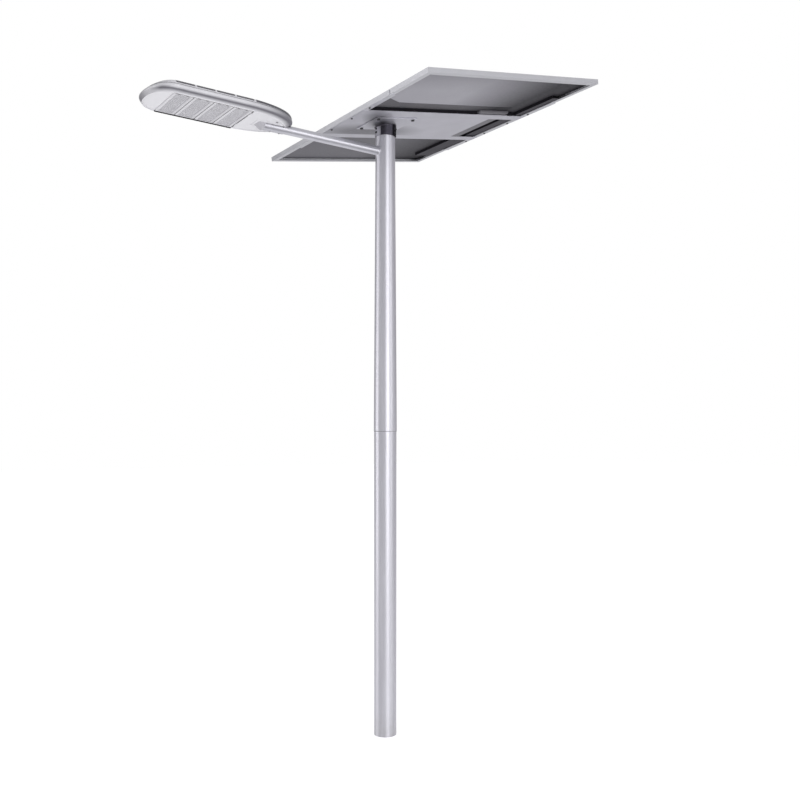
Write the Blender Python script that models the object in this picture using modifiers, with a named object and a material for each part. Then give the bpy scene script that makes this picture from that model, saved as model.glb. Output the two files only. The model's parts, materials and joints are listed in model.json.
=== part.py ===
"""Solar street lamp: a two-section steel pole that carries a tilted solar panel on its top and
an LED lamp head on a side arm.

Metres, +Z up. The origin is the centre of the pole's foot. The arm points along -X, the panel's
long side lies along Y, and the panel's +X side is its high side.
"""

import math

import bmesh
import bpy
from mathutils import Matrix, Vector

GAP = 0.0003  # clearance left between pieces that touch

# Pole
LOWER_RADIUS = 0.0635
UPPER_FOOT_RADIUS = 0.0655
UPPER_TOP_RADIUS = 0.0550
POLE_WALL = 0.003
SEAM_HEIGHT = 1.727
POLE_HEIGHT = 3.449
SPIGOT_LENGTH = 0.250
FOOT_DISC_THICKNESS = 0.010
POLE_SIDES = 48

# Arm and its cable. The arm rises gently away from the pole.
ARM_HEIGHT = 3.314
ARM_RISE = math.radians(1.55)
ARM_RADIUS = 0.02415
ARM_WALL = 0.0032
ARM_END = 0.762
WELD_SIZE = 0.0035
CABLE_HOLE_RADIUS = 0.018
CABLE_RADIUS = 0.0035
CABLE_TOP = 3.440
CABLE_SPLIT = 0.752

# Bracket on the pole's top
SLEEVE_RADIUS = 0.0586
SLEEVE_BORE_RADIUS = 0.0558
SLEEVE_FOOT = 3.400
SET_SCREW_HEIGHTS = (3.420, 3.441)
SET_SCREW_ANGLES = (180, 60, -60)
SET_SCREW_RADIUS = 0.004
SET_SCREW_HEAD = 0.0065
FLANGE_LOW_CORNER = (-0.155, -0.158)
FLANGE_HIGH_CORNER = (0.115, 0.064)
FLANGE_THICKNESS = 0.006
FLANGE_BOLT_INSET = 0.020
FLANGE_BOLT_RADIUS = 0.005
LEAD_HOLE_RADIUS = 0.024

# Solar panel. s runs along its short side, up the slope, from the pole's axis.
# n is the height above its underside.
PANEL_TILT = math.radians(8.9)
PANEL_HEIGHT = 3.475
PANEL_LOW_EDGE = -0.3046
PANEL_HIGH_EDGE = 0.8294
PANEL_HALF_LENGTH = 0.861
FRAME_HEIGHT = 0.025
FRAME_FLANGE = 0.030
FRAME_SHEET = 0.0016
GROOVE_DEPTH = 0.010
GROOVE_FLOOR = 0.0179
GROOVE_ROOF = 0.0233
GLASS_THICKNESS = 0.0032
CELL_THICKNESS = 0.0005
BACKSHEET_THICKNESS = 0.0005
CELL_BORDER = 0.012

# Support under the panel
RAIL_HALF_LENGTH = 0.520
RAIL_SHEET = 0.003
RAIL_FOOT = 0.035
RAIL_RISE = 0.022
RAIL_SCREW_PLACES = (-0.300, -0.112, 0.112, 0.300)
RAIL_SCREW_INSET = 0.014
RAIL_SCREW_RADIUS = 0.0024
RAIL_SCREW_HEAD = 0.006
PLATE_SHEET = 0.002
PLATE_TOP = -0.0036
PLATE_INNER_HALF = 0.190
PLATE_OUTER_HALF = 0.260
PLATE_HIGH_END = 0.606
LIP_HEIGHT = 0.012
LIP_LOW_END = -0.262
LIP_HIGH_END = 0.792
JUNCTION_BOX_LOW = (0.470, -0.285, 0.0015)
JUNCTION_BOX_HIGH = (0.680, -0.205, 0.0165)

# Lamp head. u is the distance from the pole's axis along the arm, and heights are above the arm's axis.
HEAD_REAR = 0.601
HEAD_TIP = 1.406
HEAD_HALF_WIDTH = 0.166
NOSE_START = 1.272
NOSE_FULLNESS = 2.3
REAR_START = 0.911
NOSE_STEPS = 16
REAR_STEPS = 20
HOUSING_WALL = 0.003
COVER_WALL = 0.0025
RIM_HEIGHT = 0.000
FACE_HEIGHT = 0.003
FLANK_TOP = 0.019
WALL_TOP = 0.043
COVER_TOP = 0.063
# A level of the head is its height and how far its outline stands inside the largest one:
# at the sides, at the nose and at the tail.
FACE_LEVEL = (FACE_HEIGHT, 0.0165, 0.0165, 0.0450)
RIM_INNER_LEVEL = (RIM_HEIGHT, 0.0160, 0.0160, 0.0440)
RIM_OUTER_LEVEL = (RIM_HEIGHT, 0.0130, 0.0125, 0.0400)
FLANK_LEVEL = (FLANK_TOP, 0.0020, 0.0010, 0.0060)
BELLY_LEVEL = (0.027, 0.0000, 0.0000, 0.0000)
WALL_LEVEL = (0.037, 0.0000, 0.0100, 0.0010)
SEAM_LEVEL = (WALL_TOP, 0.0015, 0.0180, 0.0030)
SHOULDER_LEVEL = (0.050, 0.0025, 0.0270, 0.0060)
BROW_LEVEL = (0.0595, 0.0080, 0.0440, 0.0130)
CROWN_LEVEL = (COVER_TOP, 0.0200, 0.0620, 0.0300)
MODULE_COUNT = 4
MODULE_START = 0.880
MODULE_PITCH = 0.1035
MODULE_HALF_WIDTH = 0.146
MODULE_GAP = 0.0015
MODULE_LOW = 0.001
MODULE_TOP = 0.0120
HEAT_SINK_HALF_WIDTH = 0.140
HEAT_SINK_BASE = 0.005
HEAT_SINK_TOP = 0.067
FIN_COUNT = 8
FIN_THICKNESS = 0.003

# Slip-fitter between the arm and the lamp head
SOCKET_REAR = 0.644
SOCKET_NECK_END = 0.760
SOCKET_FRONT = 0.806
SOCKET_RADIUS = 0.0270
SOCKET_BORE_END = 0.778
SOCKET_SCREW_PLACES = (0.668, 0.722)
SOCKET_SCREW_RADIUS = 0.003
NOTCH_RADIUS = 0.0290

# Rear door
DOOR_INSETS = (0.0205, 0.0500)
DOOR_HOLE_INSETS = (0.0195, 0.0490)
DOOR_THICKNESS = 0.003
DOOR_EDGE_GAP = 0.001
DOOR_FRONT = 0.8732
DOOR_HOLE_FRONT = 0.878
DOOR_SLOTS = ((0.757, 0.810, 0.048), (0.500, 0.760, 0.0300))
HINGE_PLACE = 0.875
HINGE_PIN_RADIUS = 0.0012
HINGE_HALF_LENGTH = 0.128
HINGE_EYE_RADIUS = 0.0022
HINGE_RUNNING_GAP = 0.00005
DOOR_EYE_SPANS = {"near": (-0.110, -0.070), "far": (0.070, 0.110)}
HOUSING_EYE_SPANS = {"near": (-0.127, -0.112), "far": (0.112, 0.127)}
LATCH_PLACE = 0.712
LATCH_OFFSET = 0.070
LATCH_KNOB_RADIUS = 0.007
LATCH_SHAFT_RADIUS = 0.003

parts = bpy.data.collections.new("solar_street_lamp")
cutters = bpy.data.collections.new("cutters")


# ---- Tools ----


def clear_scene():
    for old in list(bpy.data.objects):
        bpy.data.objects.remove(old, do_unlink=True)
    bpy.context.scene.collection.children.link(parts)
    bpy.context.scene.collection.children.link(cutters)


def make_finish(name, colour, metallic, roughness):
    finish = bpy.data.materials.new(name)
    finish.use_nodes = True
    shader = finish.node_tree.nodes["Principled BSDF"]
    shader.inputs["Base Color"].default_value = (*colour, 1)
    shader.inputs["Metallic"].default_value = metallic
    shader.inputs["Roughness"].default_value = roughness
    return finish


def add_object(name, data, parent=None, finish=None, collection=parts):
    piece = bpy.data.objects.new(name, data)
    collection.objects.link(piece)
    piece.parent = parent
    if finish:
        data.materials.append(finish)
    if collection is cutters:
        piece.hide_render = True
        piece.display_type = "WIRE"
    return piece


def add_empty(name, location, parent=None, tilt=0.0):
    """A frame to build in, tilted about the Y axis."""
    empty = add_object(name, None, parent)
    empty.location = location
    empty.rotation_euler = (0, tilt, 0)
    return empty


def mesh_object(name, mesh, parent=None, finish=None, collection=parts):
    """An object from a bmesh, which is used up. Round faces are shaded smooth."""
    data = bpy.data.meshes.new(name)
    mesh.to_mesh(data)
    mesh.free()
    data.shade_smooth()
    data.set_sharp_from_angle(angle=math.radians(30))
    return add_object(name, data, parent, finish, collection)


def box(name, low, high, parent=None, finish=None, collection=parts):
    low, high = Vector(low), Vector(high)
    mesh = bmesh.new()
    bmesh.ops.create_cube(mesh, size=1)
    bmesh.ops.scale(mesh, vec=high - low, verts=mesh.verts)
    piece = mesh_object(name, mesh, parent, finish, collection)
    piece.location = (low + high) / 2
    return piece


def rod(name, start, end, radius, parent=None, finish=None, collection=parts, sides=24, end_radius=None):
    """A cylinder, or a cone where end_radius is given, between two points on its axis."""
    start, end = Vector(start), Vector(end)
    mesh = bmesh.new()
    bmesh.ops.create_cone(
        mesh,
        cap_ends=True,
        segments=sides,
        radius1=radius,
        radius2=radius if end_radius is None else end_radius,
        depth=(end - start).length,
    )
    piece = mesh_object(name, mesh, parent, finish, collection)
    piece.location = (start + end) / 2
    piece.rotation_euler = (end - start).to_track_quat("Z", "Y").to_euler()
    return piece


def turned(name, profile, parent=None, finish=None, closed=False, sides=24):
    """A profile of (radius, height) points turned about Z. It runs down its outer side."""
    mesh = bmesh.new()
    points = [mesh.verts.new((radius, 0, height)) for radius, height in profile]
    for first, second in zip(points, points[1:]):
        mesh.edges.new((first, second))
    if closed:
        mesh.edges.new((points[-1], points[0]))
    piece = mesh_object(name, mesh, parent, finish)
    screw = piece.modifiers.new("turn", "SCREW")
    screw.steps = sides
    screw.render_steps = sides
    screw.use_merge_vertices = True
    screw.merge_threshold = 0.00001
    return piece


def solid_copy(piece):
    """The piece with its modifiers and bevels made into a plain mesh, with any loose caps welded on."""
    graph = bpy.context.evaluated_depsgraph_get()
    data = bpy.data.meshes.new_from_object(piece.evaluated_get(graph))
    mesh = bmesh.new()
    mesh.from_mesh(data)
    bmesh.ops.remove_doubles(mesh, verts=mesh.verts, dist=0.00001)
    bmesh.ops.recalc_face_normals(mesh, faces=mesh.faces)
    mesh.to_mesh(data)
    mesh.free()
    name, parent, place = piece.name, piece.parent, piece.matrix_basis.copy()
    collection = piece.users_collection[0]
    bpy.data.objects.remove(piece)
    copy = add_object(name, data, parent, None, collection)
    copy.matrix_basis = place
    return copy


def outline_prism(name, outline, thickness, parent=None, finish=None):
    """A flat outline of (x, y) points, made solid by half the thickness to each side of its plane."""
    curve = bpy.data.curves.new(name, "CURVE")
    curve.dimensions = "2D"
    curve.fill_mode = "BOTH"
    curve.extrude = thickness / 2
    spline = curve.splines.new("POLY")
    spline.points.add(len(outline) - 1)
    for point, (x, y) in zip(spline.points, outline):
        point.co = (x, y, 0, 1)
    spline.use_cyclic_u = True
    return solid_copy(add_object(name, curve, parent, finish))


def loft(name, rings, parent=None, finish=None):
    """A closed body through rings that have the same number of points, with a flat cap at each end."""
    mesh = bmesh.new()
    loops = [[mesh.verts.new(point) for point in ring] for ring in rings]
    for near, far in zip(loops, loops[1:]):
        for index in range(len(near)):
            after = (index + 1) % len(near)
            mesh.faces.new((near[index], near[after], far[after], far[index]))
    mesh.faces.new(loops[0])
    mesh.faces.new(loops[-1])
    bmesh.ops.recalc_face_normals(mesh, faces=mesh.faces)
    return mesh_object(name, mesh, parent, finish)


def between(start, end, low, high, place):
    return start + (end - start) * ((place - low) / (high - low))


def cable(name, route, radius, parent=None, finish=None, steps=6):
    """A round cable on a smooth curve (centripetal Catmull-Rom) through the points of its route."""
    ends = [2 * Vector(route[0]) - Vector(route[1]), 2 * Vector(route[-1]) - Vector(route[-2])]
    knots = [ends[0], *map(Vector, route), ends[1]]
    points = []
    for index in range(1, len(knots) - 2):
        a, b, c, d = knots[index - 1 : index + 3]
        times = [0.0]
        for start, end in ((a, b), (b, c), (c, d)):
            times.append(times[-1] + math.sqrt((end - start).length))
        t0, t1, t2, t3 = times
        for step in range(steps):
            t = t1 + (t2 - t1) * step / steps
            ab, bc, cd = between(a, b, t0, t1, t), between(b, c, t1, t2, t), between(c, d, t2, t3, t)
            abc, bcd = between(ab, bc, t0, t2, t), between(bc, cd, t1, t3, t)
            points.append(between(abc, bcd, t1, t2, t))
    points.append(knots[-2])
    curve = bpy.data.curves.new(name, "CURVE")
    curve.dimensions = "3D"
    curve.bevel_depth = radius
    curve.bevel_resolution = 2
    curve.use_fill_caps = True
    spline = curve.splines.new("POLY")
    spline.points.add(len(points) - 1)
    for point, place in zip(spline.points, points):
        point.co = (*place, 1)
    return add_object(name, curve, parent, finish)


def combine(piece, other, operation="DIFFERENCE"):
    boolean = piece.modifiers.new("combine", "BOOLEAN")
    boolean.operation = operation
    boolean.object = other


def drill(piece, start, end, radius, sides=24, end_radius=None):
    """Cuts a round hole between two points, given in the frame that the piece is built in."""
    name = f"hole_in_{piece.name}"
    combine(piece, rod(name, start, end, radius, piece.parent, None, cutters, sides, end_radius))


def carve(piece, low, high, tilt=0.0):
    cutter = box(f"cut_in_{piece.name}", low, high, piece.parent, None, cutters)
    cutter.rotation_euler = (0, tilt, 0)
    combine(piece, cutter)


def hide_as_cutter(piece):
    parts.objects.unlink(piece)
    cutters.objects.link(piece)
    piece.hide_render = True
    piece.display_type = "WIRE"


def absorb(piece, other):
    """Joins another piece to this one and leaves its own object out of the parts."""
    hide_as_cutter(other)
    combine(piece, other, "UNION")


def bolt(name, head_radius, head_height, shank_radius, shank_length, parent, finish, sides=12):
    """A round-headed bolt along Z: its head stands on Z = 0 and its shank runs down."""
    chamfer = head_height * 0.3
    profile = [
        (0, head_height),
        (head_radius - chamfer, head_height),
        (head_radius, head_height - chamfer),
        (head_radius, 0),
        (shank_radius, 0),
        (shank_radius, -shank_length),
        (0, -shank_length),
    ]
    return turned(name, profile, parent, finish, sides=sides)


# ---- Finishes ----


def make_finishes():
    return {
        "pole": make_finish("pole_paint", (0.62, 0.61, 0.65), 0.3, 0.35),
        "frame": make_finish("anodised_frame", (0.58, 0.58, 0.62), 0.9, 0.4),
        "support": make_finish("galvanised_sheet", (0.50, 0.50, 0.54), 0.8, 0.5),
        "backsheet": make_finish("grey_backsheet", (0.23, 0.23, 0.26), 0.0, 0.6),
        "glass": make_finish("panel_glass", (0.75, 0.80, 0.85), 0.0, 0.05),
        "cells": make_finish("solar_cells", (0.01, 0.015, 0.04), 0.2, 0.25),
        "housing": make_finish("housing_paint", (0.66, 0.66, 0.69), 0.2, 0.35),
        "face": make_finish("face_paint", (0.85, 0.85, 0.87), 0.0, 0.4),
        "dark": make_finish("dark_casting", (0.08, 0.08, 0.09), 0.3, 0.5),
        "lens": make_finish("lens_plate", (0.80, 0.80, 0.82), 0.0, 0.2),
        "steel": make_finish("screw_steel", (0.45, 0.45, 0.47), 1.0, 0.35),
        "plastic": make_finish("black_plastic", (0.03, 0.03, 0.03), 0.0, 0.5),
        "rubber": make_finish("cable_rubber", (0.02, 0.02, 0.02), 0.0, 0.6),
        "battery": make_finish("battery_wrap", (0.05, 0.12, 0.30), 0.0, 0.4),
    }


# ---- Pole ----


def upper_radius(height):
    """The outer radius of the tapered upper section."""
    share = (height - SEAM_HEIGHT) / (POLE_HEIGHT - SEAM_HEIGHT)
    return UPPER_FOOT_RADIUS + (UPPER_TOP_RADIUS - UPPER_FOOT_RADIUS) * share


def make_pole(finishes):
    spigot_top = SEAM_HEIGHT + SPIGOT_LENGTH
    inside = POLE_WALL + GAP
    lower_profile = [
        (upper_radius(spigot_top) - inside, spigot_top),
        (upper_radius(SEAM_HEIGHT) - inside, SEAM_HEIGHT - GAP),
        (LOWER_RADIUS, SEAM_HEIGHT - GAP),
        (LOWER_RADIUS, 0),
        (LOWER_RADIUS - POLE_WALL, 0),
        (LOWER_RADIUS - POLE_WALL, SEAM_HEIGHT - 0.020),
        (upper_radius(SEAM_HEIGHT) - inside - POLE_WALL, SEAM_HEIGHT),
        (upper_radius(spigot_top) - inside - POLE_WALL, spigot_top),
    ]
    turned("lower_pole", lower_profile, None, finishes["pole"], True, POLE_SIDES)
    upper_profile = [
        (UPPER_TOP_RADIUS, POLE_HEIGHT),
        (UPPER_FOOT_RADIUS, SEAM_HEIGHT),
        (UPPER_FOOT_RADIUS - POLE_WALL, SEAM_HEIGHT),
        (UPPER_TOP_RADIUS - POLE_WALL, POLE_HEIGHT),
    ]
    upper_pole = turned("upper_pole", upper_profile, None, finishes["pole"], True, POLE_SIDES)
    cable_hole_end = UPPER_FOOT_RADIUS + 0.010
    combine(
        upper_pole,
        rod(
            "cable_hole",
            (-0.030, 0, ARM_HEIGHT),
            (-cable_hole_end, 0, ARM_HEIGHT),
            CABLE_HOLE_RADIUS,
            None,
            None,
            cutters,
        ),
    )
    foot_disc_radius = LOWER_RADIUS - POLE_WALL - GAP
    rod(
        "pole_foot_disc",
        (0, 0, 0),
        (0, 0, FOOT_DISC_THICKNESS),
        foot_disc_radius,
        None,
        finishes["pole"],
        sides=POLE_SIDES,
    )


def pole_cutter(name, clearance):
    """The upper section's outside round the arm, as a solid cone that is larger by the clearance."""
    low, high = ARM_HEIGHT - 0.08, ARM_HEIGHT + 0.08
    return rod(
        name,
        (0, 0, low),
        (0, 0, high),
        upper_radius(low) + clearance,
        None,
        None,
        cutters,
        POLE_SIDES,
        upper_radius(high) + clearance,
    )


def make_arm(arm_frame, finishes):
    arm_profile = [
        (ARM_RADIUS, ARM_END),
        (ARM_RADIUS, 0.030),
        (ARM_RADIUS - ARM_WALL, 0.030),
        (ARM_RADIUS - ARM_WALL, ARM_END),
    ]
    arm_tube = turned("arm_tube", arm_profile, arm_frame, finishes["pole"], True, 32)
    arm_tube.rotation_euler = (0, -math.pi / 2, 0)
    combine(arm_tube, pole_cutter("pole_behind_arm", GAP))

    collar = rod(
        "arm_weld_collar",
        (-0.030, 0, 0),
        (-0.080, 0, 0),
        ARM_RADIUS + WELD_SIZE,
        arm_frame,
        finishes["pole"],
        sides=32,
    )
    combine(collar, pole_cutter("pole_and_weld", WELD_SIZE), "INTERSECT")
    combine(collar, pole_cutter("pole_behind_weld", GAP))
    drill(collar, (-0.020, 0, 0), (-0.090, 0, 0), ARM_RADIUS + GAP, 32)

    bend = 0.030
    cable_route = [
        (0, 0, CABLE_TOP - ARM_HEIGHT),
        (0, 0, bend * 2.2),
        (0, 0, bend * 1.3),
        (-bend * 0.35, 0, bend * 0.35),
        (-bend * 1.3, 0, 0),
        (-bend * 2.2, 0, 0),
        (-0.30, 0, -0.008),
        (-0.60, 0, -0.008),
        (-CABLE_SPLIT + 0.030, 0, 0),
        (-CABLE_SPLIT, 0, 0),
    ]
    cable("feed_cable", cable_route, CABLE_RADIUS, arm_frame, finishes["rubber"])


# ---- Bracket ----


def make_bracket(turn, panel, finishes):
    """The sleeve, which turns on the pole, and the square plate on its sloping top."""
    plate_top = PLATE_TOP - PLATE_SHEET - GAP
    plate_low = plate_top - FLANGE_THICKNESS
    sleeve_height = PANEL_HEIGHT - SLEEVE_FOOT + 0.02
    sleeve_profile = [
        (SLEEVE_RADIUS, sleeve_height),
        (SLEEVE_RADIUS, 0),
        (SLEEVE_BORE_RADIUS, 0),
        (SLEEVE_BORE_RADIUS, sleeve_height),
    ]
    sleeve = turned("bracket_sleeve", sleeve_profile, turn, finishes["support"], True, POLE_SIDES)
    sleeve.location = (0, 0, SLEEVE_FOOT)
    slope = box(
        "above_sleeve", (-0.1, -0.1, plate_low - GAP), (0.1, 0.1, plate_low + 0.1), panel, None, cutters
    )
    combine(sleeve, slope)

    plate_corners = ((*FLANGE_LOW_CORNER, plate_low), (*FLANGE_HIGH_CORNER, plate_top))
    plate = box("bracket_flange_plate", *plate_corners, panel, finishes["support"])
    drill(plate, (0, 0, plate_low - 0.01), (0, 0, plate_top + 0.01), LEAD_HOLE_RADIUS)

    number = 0
    for height in SET_SCREW_HEIGHTS:
        for angle in SET_SCREW_ANGLES:
            number += 1
            outward = Vector((math.cos(math.radians(angle)), math.sin(math.radians(angle)), 0))
            start = Vector((0, 0, height))
            drill(sleeve, start, start + outward * (SLEEVE_RADIUS + 0.02), SET_SCREW_RADIUS + GAP, 12)
            reach = SLEEVE_RADIUS + GAP - upper_radius(height) - GAP
            screw = bolt(
                f"set_screw_{number}",
                SET_SCREW_HEAD,
                0.005,
                SET_SCREW_RADIUS,
                reach,
                turn,
                finishes["steel"],
            )
            screw.location = start + outward * (SLEEVE_RADIUS + GAP)
            screw.rotation_euler = outward.to_track_quat("Z", "Y").to_euler()
    return plate, plate_low


def add_flange_bolts(panel, flange_plate, plate_low, centre_plate, finishes):
    low = [place + FLANGE_BOLT_INSET for place in FLANGE_LOW_CORNER]
    high = [place - FLANGE_BOLT_INSET for place in FLANGE_HIGH_CORNER]
    places = [(x, y) for x in (low[0], high[0]) for y in (low[1], high[1])]
    for number, (x, y) in enumerate(places, start=1):
        for pierced in (flange_plate, centre_plate):
            drill(pierced, (x, y, plate_low - 0.01), (x, y, 0.01), FLANGE_BOLT_RADIUS + GAP, 12)
        flange_bolt = bolt(
            f"flange_bolt_{number}",
            0.009,
            0.0055,
            FLANGE_BOLT_RADIUS,
            FLANGE_THICKNESS + PLATE_SHEET + 0.005,
            panel,
            finishes["steel"],
        )
        flange_bolt.location = (x, y, plate_low - GAP)
        flange_bolt.rotation_euler = (math.pi, 0, 0)


# ---- Support under the panel ----


def make_cross_rail(name, side, panel, finishes):
    """One edge of the sheet support: a flat strip with an upturned lip along its outer side."""
    low = PLATE_TOP - PLATE_SHEET
    inner, outer = side * PLATE_INNER_HALF, side * PLATE_OUTER_HALF
    lip = side * (PLATE_OUTER_HALF - PLATE_SHEET)
    start, end = PANEL_LOW_EDGE + 0.004, PANEL_HIGH_EDGE - 0.004
    rail = box(
        name,
        (start, min(inner, outer), low),
        (end, max(inner, outer), PLATE_TOP),
        panel,
        finishes["support"],
    )
    upturn = box(
        f"{name}_lip",
        (LIP_LOW_END, min(lip, outer), low),
        (LIP_HIGH_END, max(lip, outer), LIP_HEIGHT),
        panel,
    )
    if side < 0:
        notch_margin = 0.003
        carve(
            upturn,
            (JUNCTION_BOX_LOW[0] - notch_margin, outer - 0.01, JUNCTION_BOX_LOW[2] - notch_margin),
            (JUNCTION_BOX_HIGH[0] + notch_margin, lip + 0.01, LIP_HEIGHT + 0.01),
        )
    absorb(rail, upturn)
    return rail


def make_support(panel, finishes):
    low = PLATE_TOP - PLATE_SHEET
    start = PANEL_LOW_EDGE + 0.004
    inner = PLATE_INNER_HALF - GAP
    centre_plate = box(
        "centre_plate", (start, -inner, low), (PLATE_HIGH_END, inner, PLATE_TOP), panel, finishes["support"]
    )
    drill(centre_plate, (0, 0, low - 0.01), (0, 0, PLATE_TOP + 0.01), LEAD_HOLE_RADIUS)
    make_cross_rail("cross_rail_near", -1, panel, finishes)
    make_cross_rail("cross_rail_far", 1, panel, finishes)
    return centre_plate


def make_side_rail(name, edge, inward, panel, finishes):
    """An angle round the frame's outer lower corner, at the edge s = edge.

    inward is the sign of s towards the middle.
    """
    outline = [
        (-GAP - RAIL_SHEET, -GAP - RAIL_SHEET),
        (RAIL_FOOT, -GAP - RAIL_SHEET),
        (RAIL_FOOT, -GAP),
        (-GAP, -GAP),
        (-GAP, RAIL_RISE),
        (-GAP - RAIL_SHEET, RAIL_RISE),
    ]
    placed = [(edge + inward * depth, height) for depth, height in outline]
    rail = outline_prism(name, placed, RAIL_HALF_LENGTH * 2, panel, finishes["frame"])
    rail.rotation_euler = (math.pi / 2, 0, 0)
    return rail


def add_rail_screws(side, edge, inward, rail, frame_side, centre_plate, panel, finishes):
    """Screws up through the angle and the frame's flange. The middle two also hold the centre plate."""
    place = edge + inward * RAIL_SCREW_INSET
    shank = 0.010
    for number, along in enumerate(RAIL_SCREW_PLACES, start=1):
        under_plate = abs(along) < PLATE_INNER_HALF and inward > 0
        seat = (PLATE_TOP - PLATE_SHEET if under_plate else -GAP - RAIL_SHEET) - GAP
        pierced = [rail, frame_side] + ([centre_plate] if under_plate else [])
        for target in pierced:
            drill_through_panel(target, place, along)
        screw = bolt(
            f"rail_screw_{side}_{number}",
            RAIL_SCREW_HEAD,
            0.0035,
            RAIL_SCREW_RADIUS,
            shank,
            panel,
            finishes["steel"],
        )
        screw.location = (place, along, seat)
        screw.rotation_euler = (math.pi, 0, 0)


def drill_through_panel(target, place, along):
    """A screw hole square to the panel, whatever way the target lies in it."""
    panel = bpy.data.objects["panel_frame"]
    cutter = rod(
        f"screw_hole_in_{target.name}",
        (place, along, -0.010),
        (place, along, 0.006),
        RAIL_SCREW_RADIUS + GAP,
        panel,
        None,
        cutters,
        16,
    )
    combine(target, cutter)


# ---- Solar panel ----


def make_frame_side(name, half_length, panel, finishes):
    """One mitred side of the frame. Its section has x inward and y up, and its length lies along Z."""
    section = [
        (0, 0),
        (FRAME_FLANGE, 0),
        (FRAME_FLANGE, FRAME_SHEET),
        (FRAME_SHEET, FRAME_SHEET),
        (FRAME_SHEET, GROOVE_FLOOR - FRAME_SHEET),
        (GROOVE_DEPTH, GROOVE_FLOOR - FRAME_SHEET),
        (GROOVE_DEPTH, GROOVE_FLOOR),
        (FRAME_SHEET, GROOVE_FLOOR),
        (FRAME_SHEET, GROOVE_ROOF),
        (GROOVE_DEPTH, GROOVE_ROOF),
        (GROOVE_DEPTH, FRAME_HEIGHT),
        (0, FRAME_HEIGHT),
    ]
    side = outline_prism(name, section, half_length * 2, panel, finishes["frame"])
    for vertex in side.data.vertices:
        mitre = vertex.co.x + GAP
        vertex.co.z -= math.copysign(mitre, vertex.co.z)
    return side


def make_panel(panel, finishes):
    middle = (PANEL_LOW_EDGE + PANEL_HIGH_EDGE) / 2
    half_width = (PANEL_HIGH_EDGE - PANEL_LOW_EDGE) / 2
    # Each side's local x points inward, its y points up and its z lies along the side.
    sides = {
        "frame_left": (PANEL_HALF_LENGTH, (PANEL_LOW_EDGE, 0, 0), 0),
        "frame_right": (PANEL_HALF_LENGTH, (PANEL_HIGH_EDGE, 0, 0), math.pi),
        "frame_near": (half_width, (middle, -PANEL_HALF_LENGTH, 0), math.pi / 2),
        "frame_far": (half_width, (middle, PANEL_HALF_LENGTH, 0), -math.pi / 2),
    }
    frames = {}
    for name, (half_length, place, turn) in sides.items():
        side = make_frame_side(name, half_length, panel, finishes)
        stand_up = Matrix.Rotation(math.pi / 2, 4, "X")
        side.matrix_basis = Matrix.Translation(place) @ Matrix.Rotation(turn, 4, "Z") @ stand_up
        frames[name] = side

    edge = FRAME_SHEET + GAP
    layers = [
        ("backsheet", BACKSHEET_THICKNESS, "backsheet", edge),
        ("cell_layer", CELL_THICKNESS, "cells", edge + CELL_BORDER),
        ("glass_sheet", GLASS_THICKNESS, "glass", edge),
    ]
    level = GROOVE_FLOOR + GAP
    for name, thickness, finish, inset in layers:
        box(
            name,
            (PANEL_LOW_EDGE + inset, -PANEL_HALF_LENGTH + inset, level),
            (PANEL_HIGH_EDGE - inset, PANEL_HALF_LENGTH - inset, level + thickness),
            panel,
            finishes[finish],
        )
        level += thickness + GAP

    junction_box = box("junction_box", JUNCTION_BOX_LOW, JUNCTION_BOX_HIGH, panel, finishes["plastic"])
    bevel = junction_box.modifiers.new("round_edges", "BEVEL")
    bevel.width = 0.003
    bevel.segments = 2
    return frames


def make_panel_lead(turn, panel, finishes):
    """The lead from the junction box, over the centre plate and down through the bracket."""
    tilt_frame = Matrix.Translation((0, 0, PANEL_HEIGHT)) @ Matrix.Rotation(-PANEL_TILT, 4, "Y")
    lying = CABLE_RADIUS + PLATE_TOP + 0.002
    start_y = JUNCTION_BOX_HIGH[1] + GAP * 2
    on_plate = [
        (0.560, start_y, 0.009),
        (0.560, start_y + 0.010, 0.009),
        (0.560, start_y + 0.020, 0.009),
        (0.545, -0.140, lying + 0.001),
        (0.400, -0.070, lying),
        (0.200, -0.015, lying),
        (0.070, 0, lying + 0.001),
        (0.025, 0, lying + 0.001),
    ]
    route = [tilt_frame @ Vector(point) for point in on_plate]
    route += [
        Vector((0.004, 0, PANEL_HEIGHT - 0.014)),
        Vector((0, 0, PANEL_HEIGHT - 0.026)),
        Vector((0, 0, CABLE_TOP + GAP)),
    ]
    cable("panel_lead", route, CABLE_RADIUS, turn, finishes["rubber"], steps=5)


# ---- Lamp head ----


def nose_points(level):
    """The nose of the head's outline at a level: a full round end, in the arm's frame."""
    height, inset, nose_inset, _ = level
    half_width = HEAD_HALF_WIDTH - inset
    length = HEAD_TIP - NOSE_START - nose_inset
    power = 2 / NOSE_FULLNESS
    points = []
    for step in range(NOSE_STEPS + 1):
        angle = math.pi * (step / NOSE_STEPS - 0.5)
        reach = length * max(math.cos(angle), 0) ** power
        across = half_width * math.copysign(abs(math.sin(angle)) ** power, math.sin(angle))
        points.append((-NOSE_START - reach, across, height))
    return points


def tail_points(height, inset, tail_inset, front=REAR_START):
    """The elliptical tail of the head's outline, cut straight across at u = front."""
    half_width = HEAD_HALF_WIDTH - inset
    length = REAR_START - HEAD_REAR - tail_inset
    first = math.acos((REAR_START - front) / length)
    points = []
    for step in range(REAR_STEPS + 1):
        angle = first * (1 - 2 * step / REAR_STEPS)
        points.append((-REAR_START + length * math.cos(angle), half_width * math.sin(angle), height))
    return points


def head_ring(level, wall=0.0, drop=0.0):
    """The whole outline at a level. wall moves it inward by a wall's thickness, and drop moves it down."""
    height, inset, nose_inset, tail_inset = level
    height -= drop
    inset += wall
    nose = nose_points((height, inset, nose_inset + wall, tail_inset))
    return nose + tail_points(height, inset, tail_inset + wall)


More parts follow.
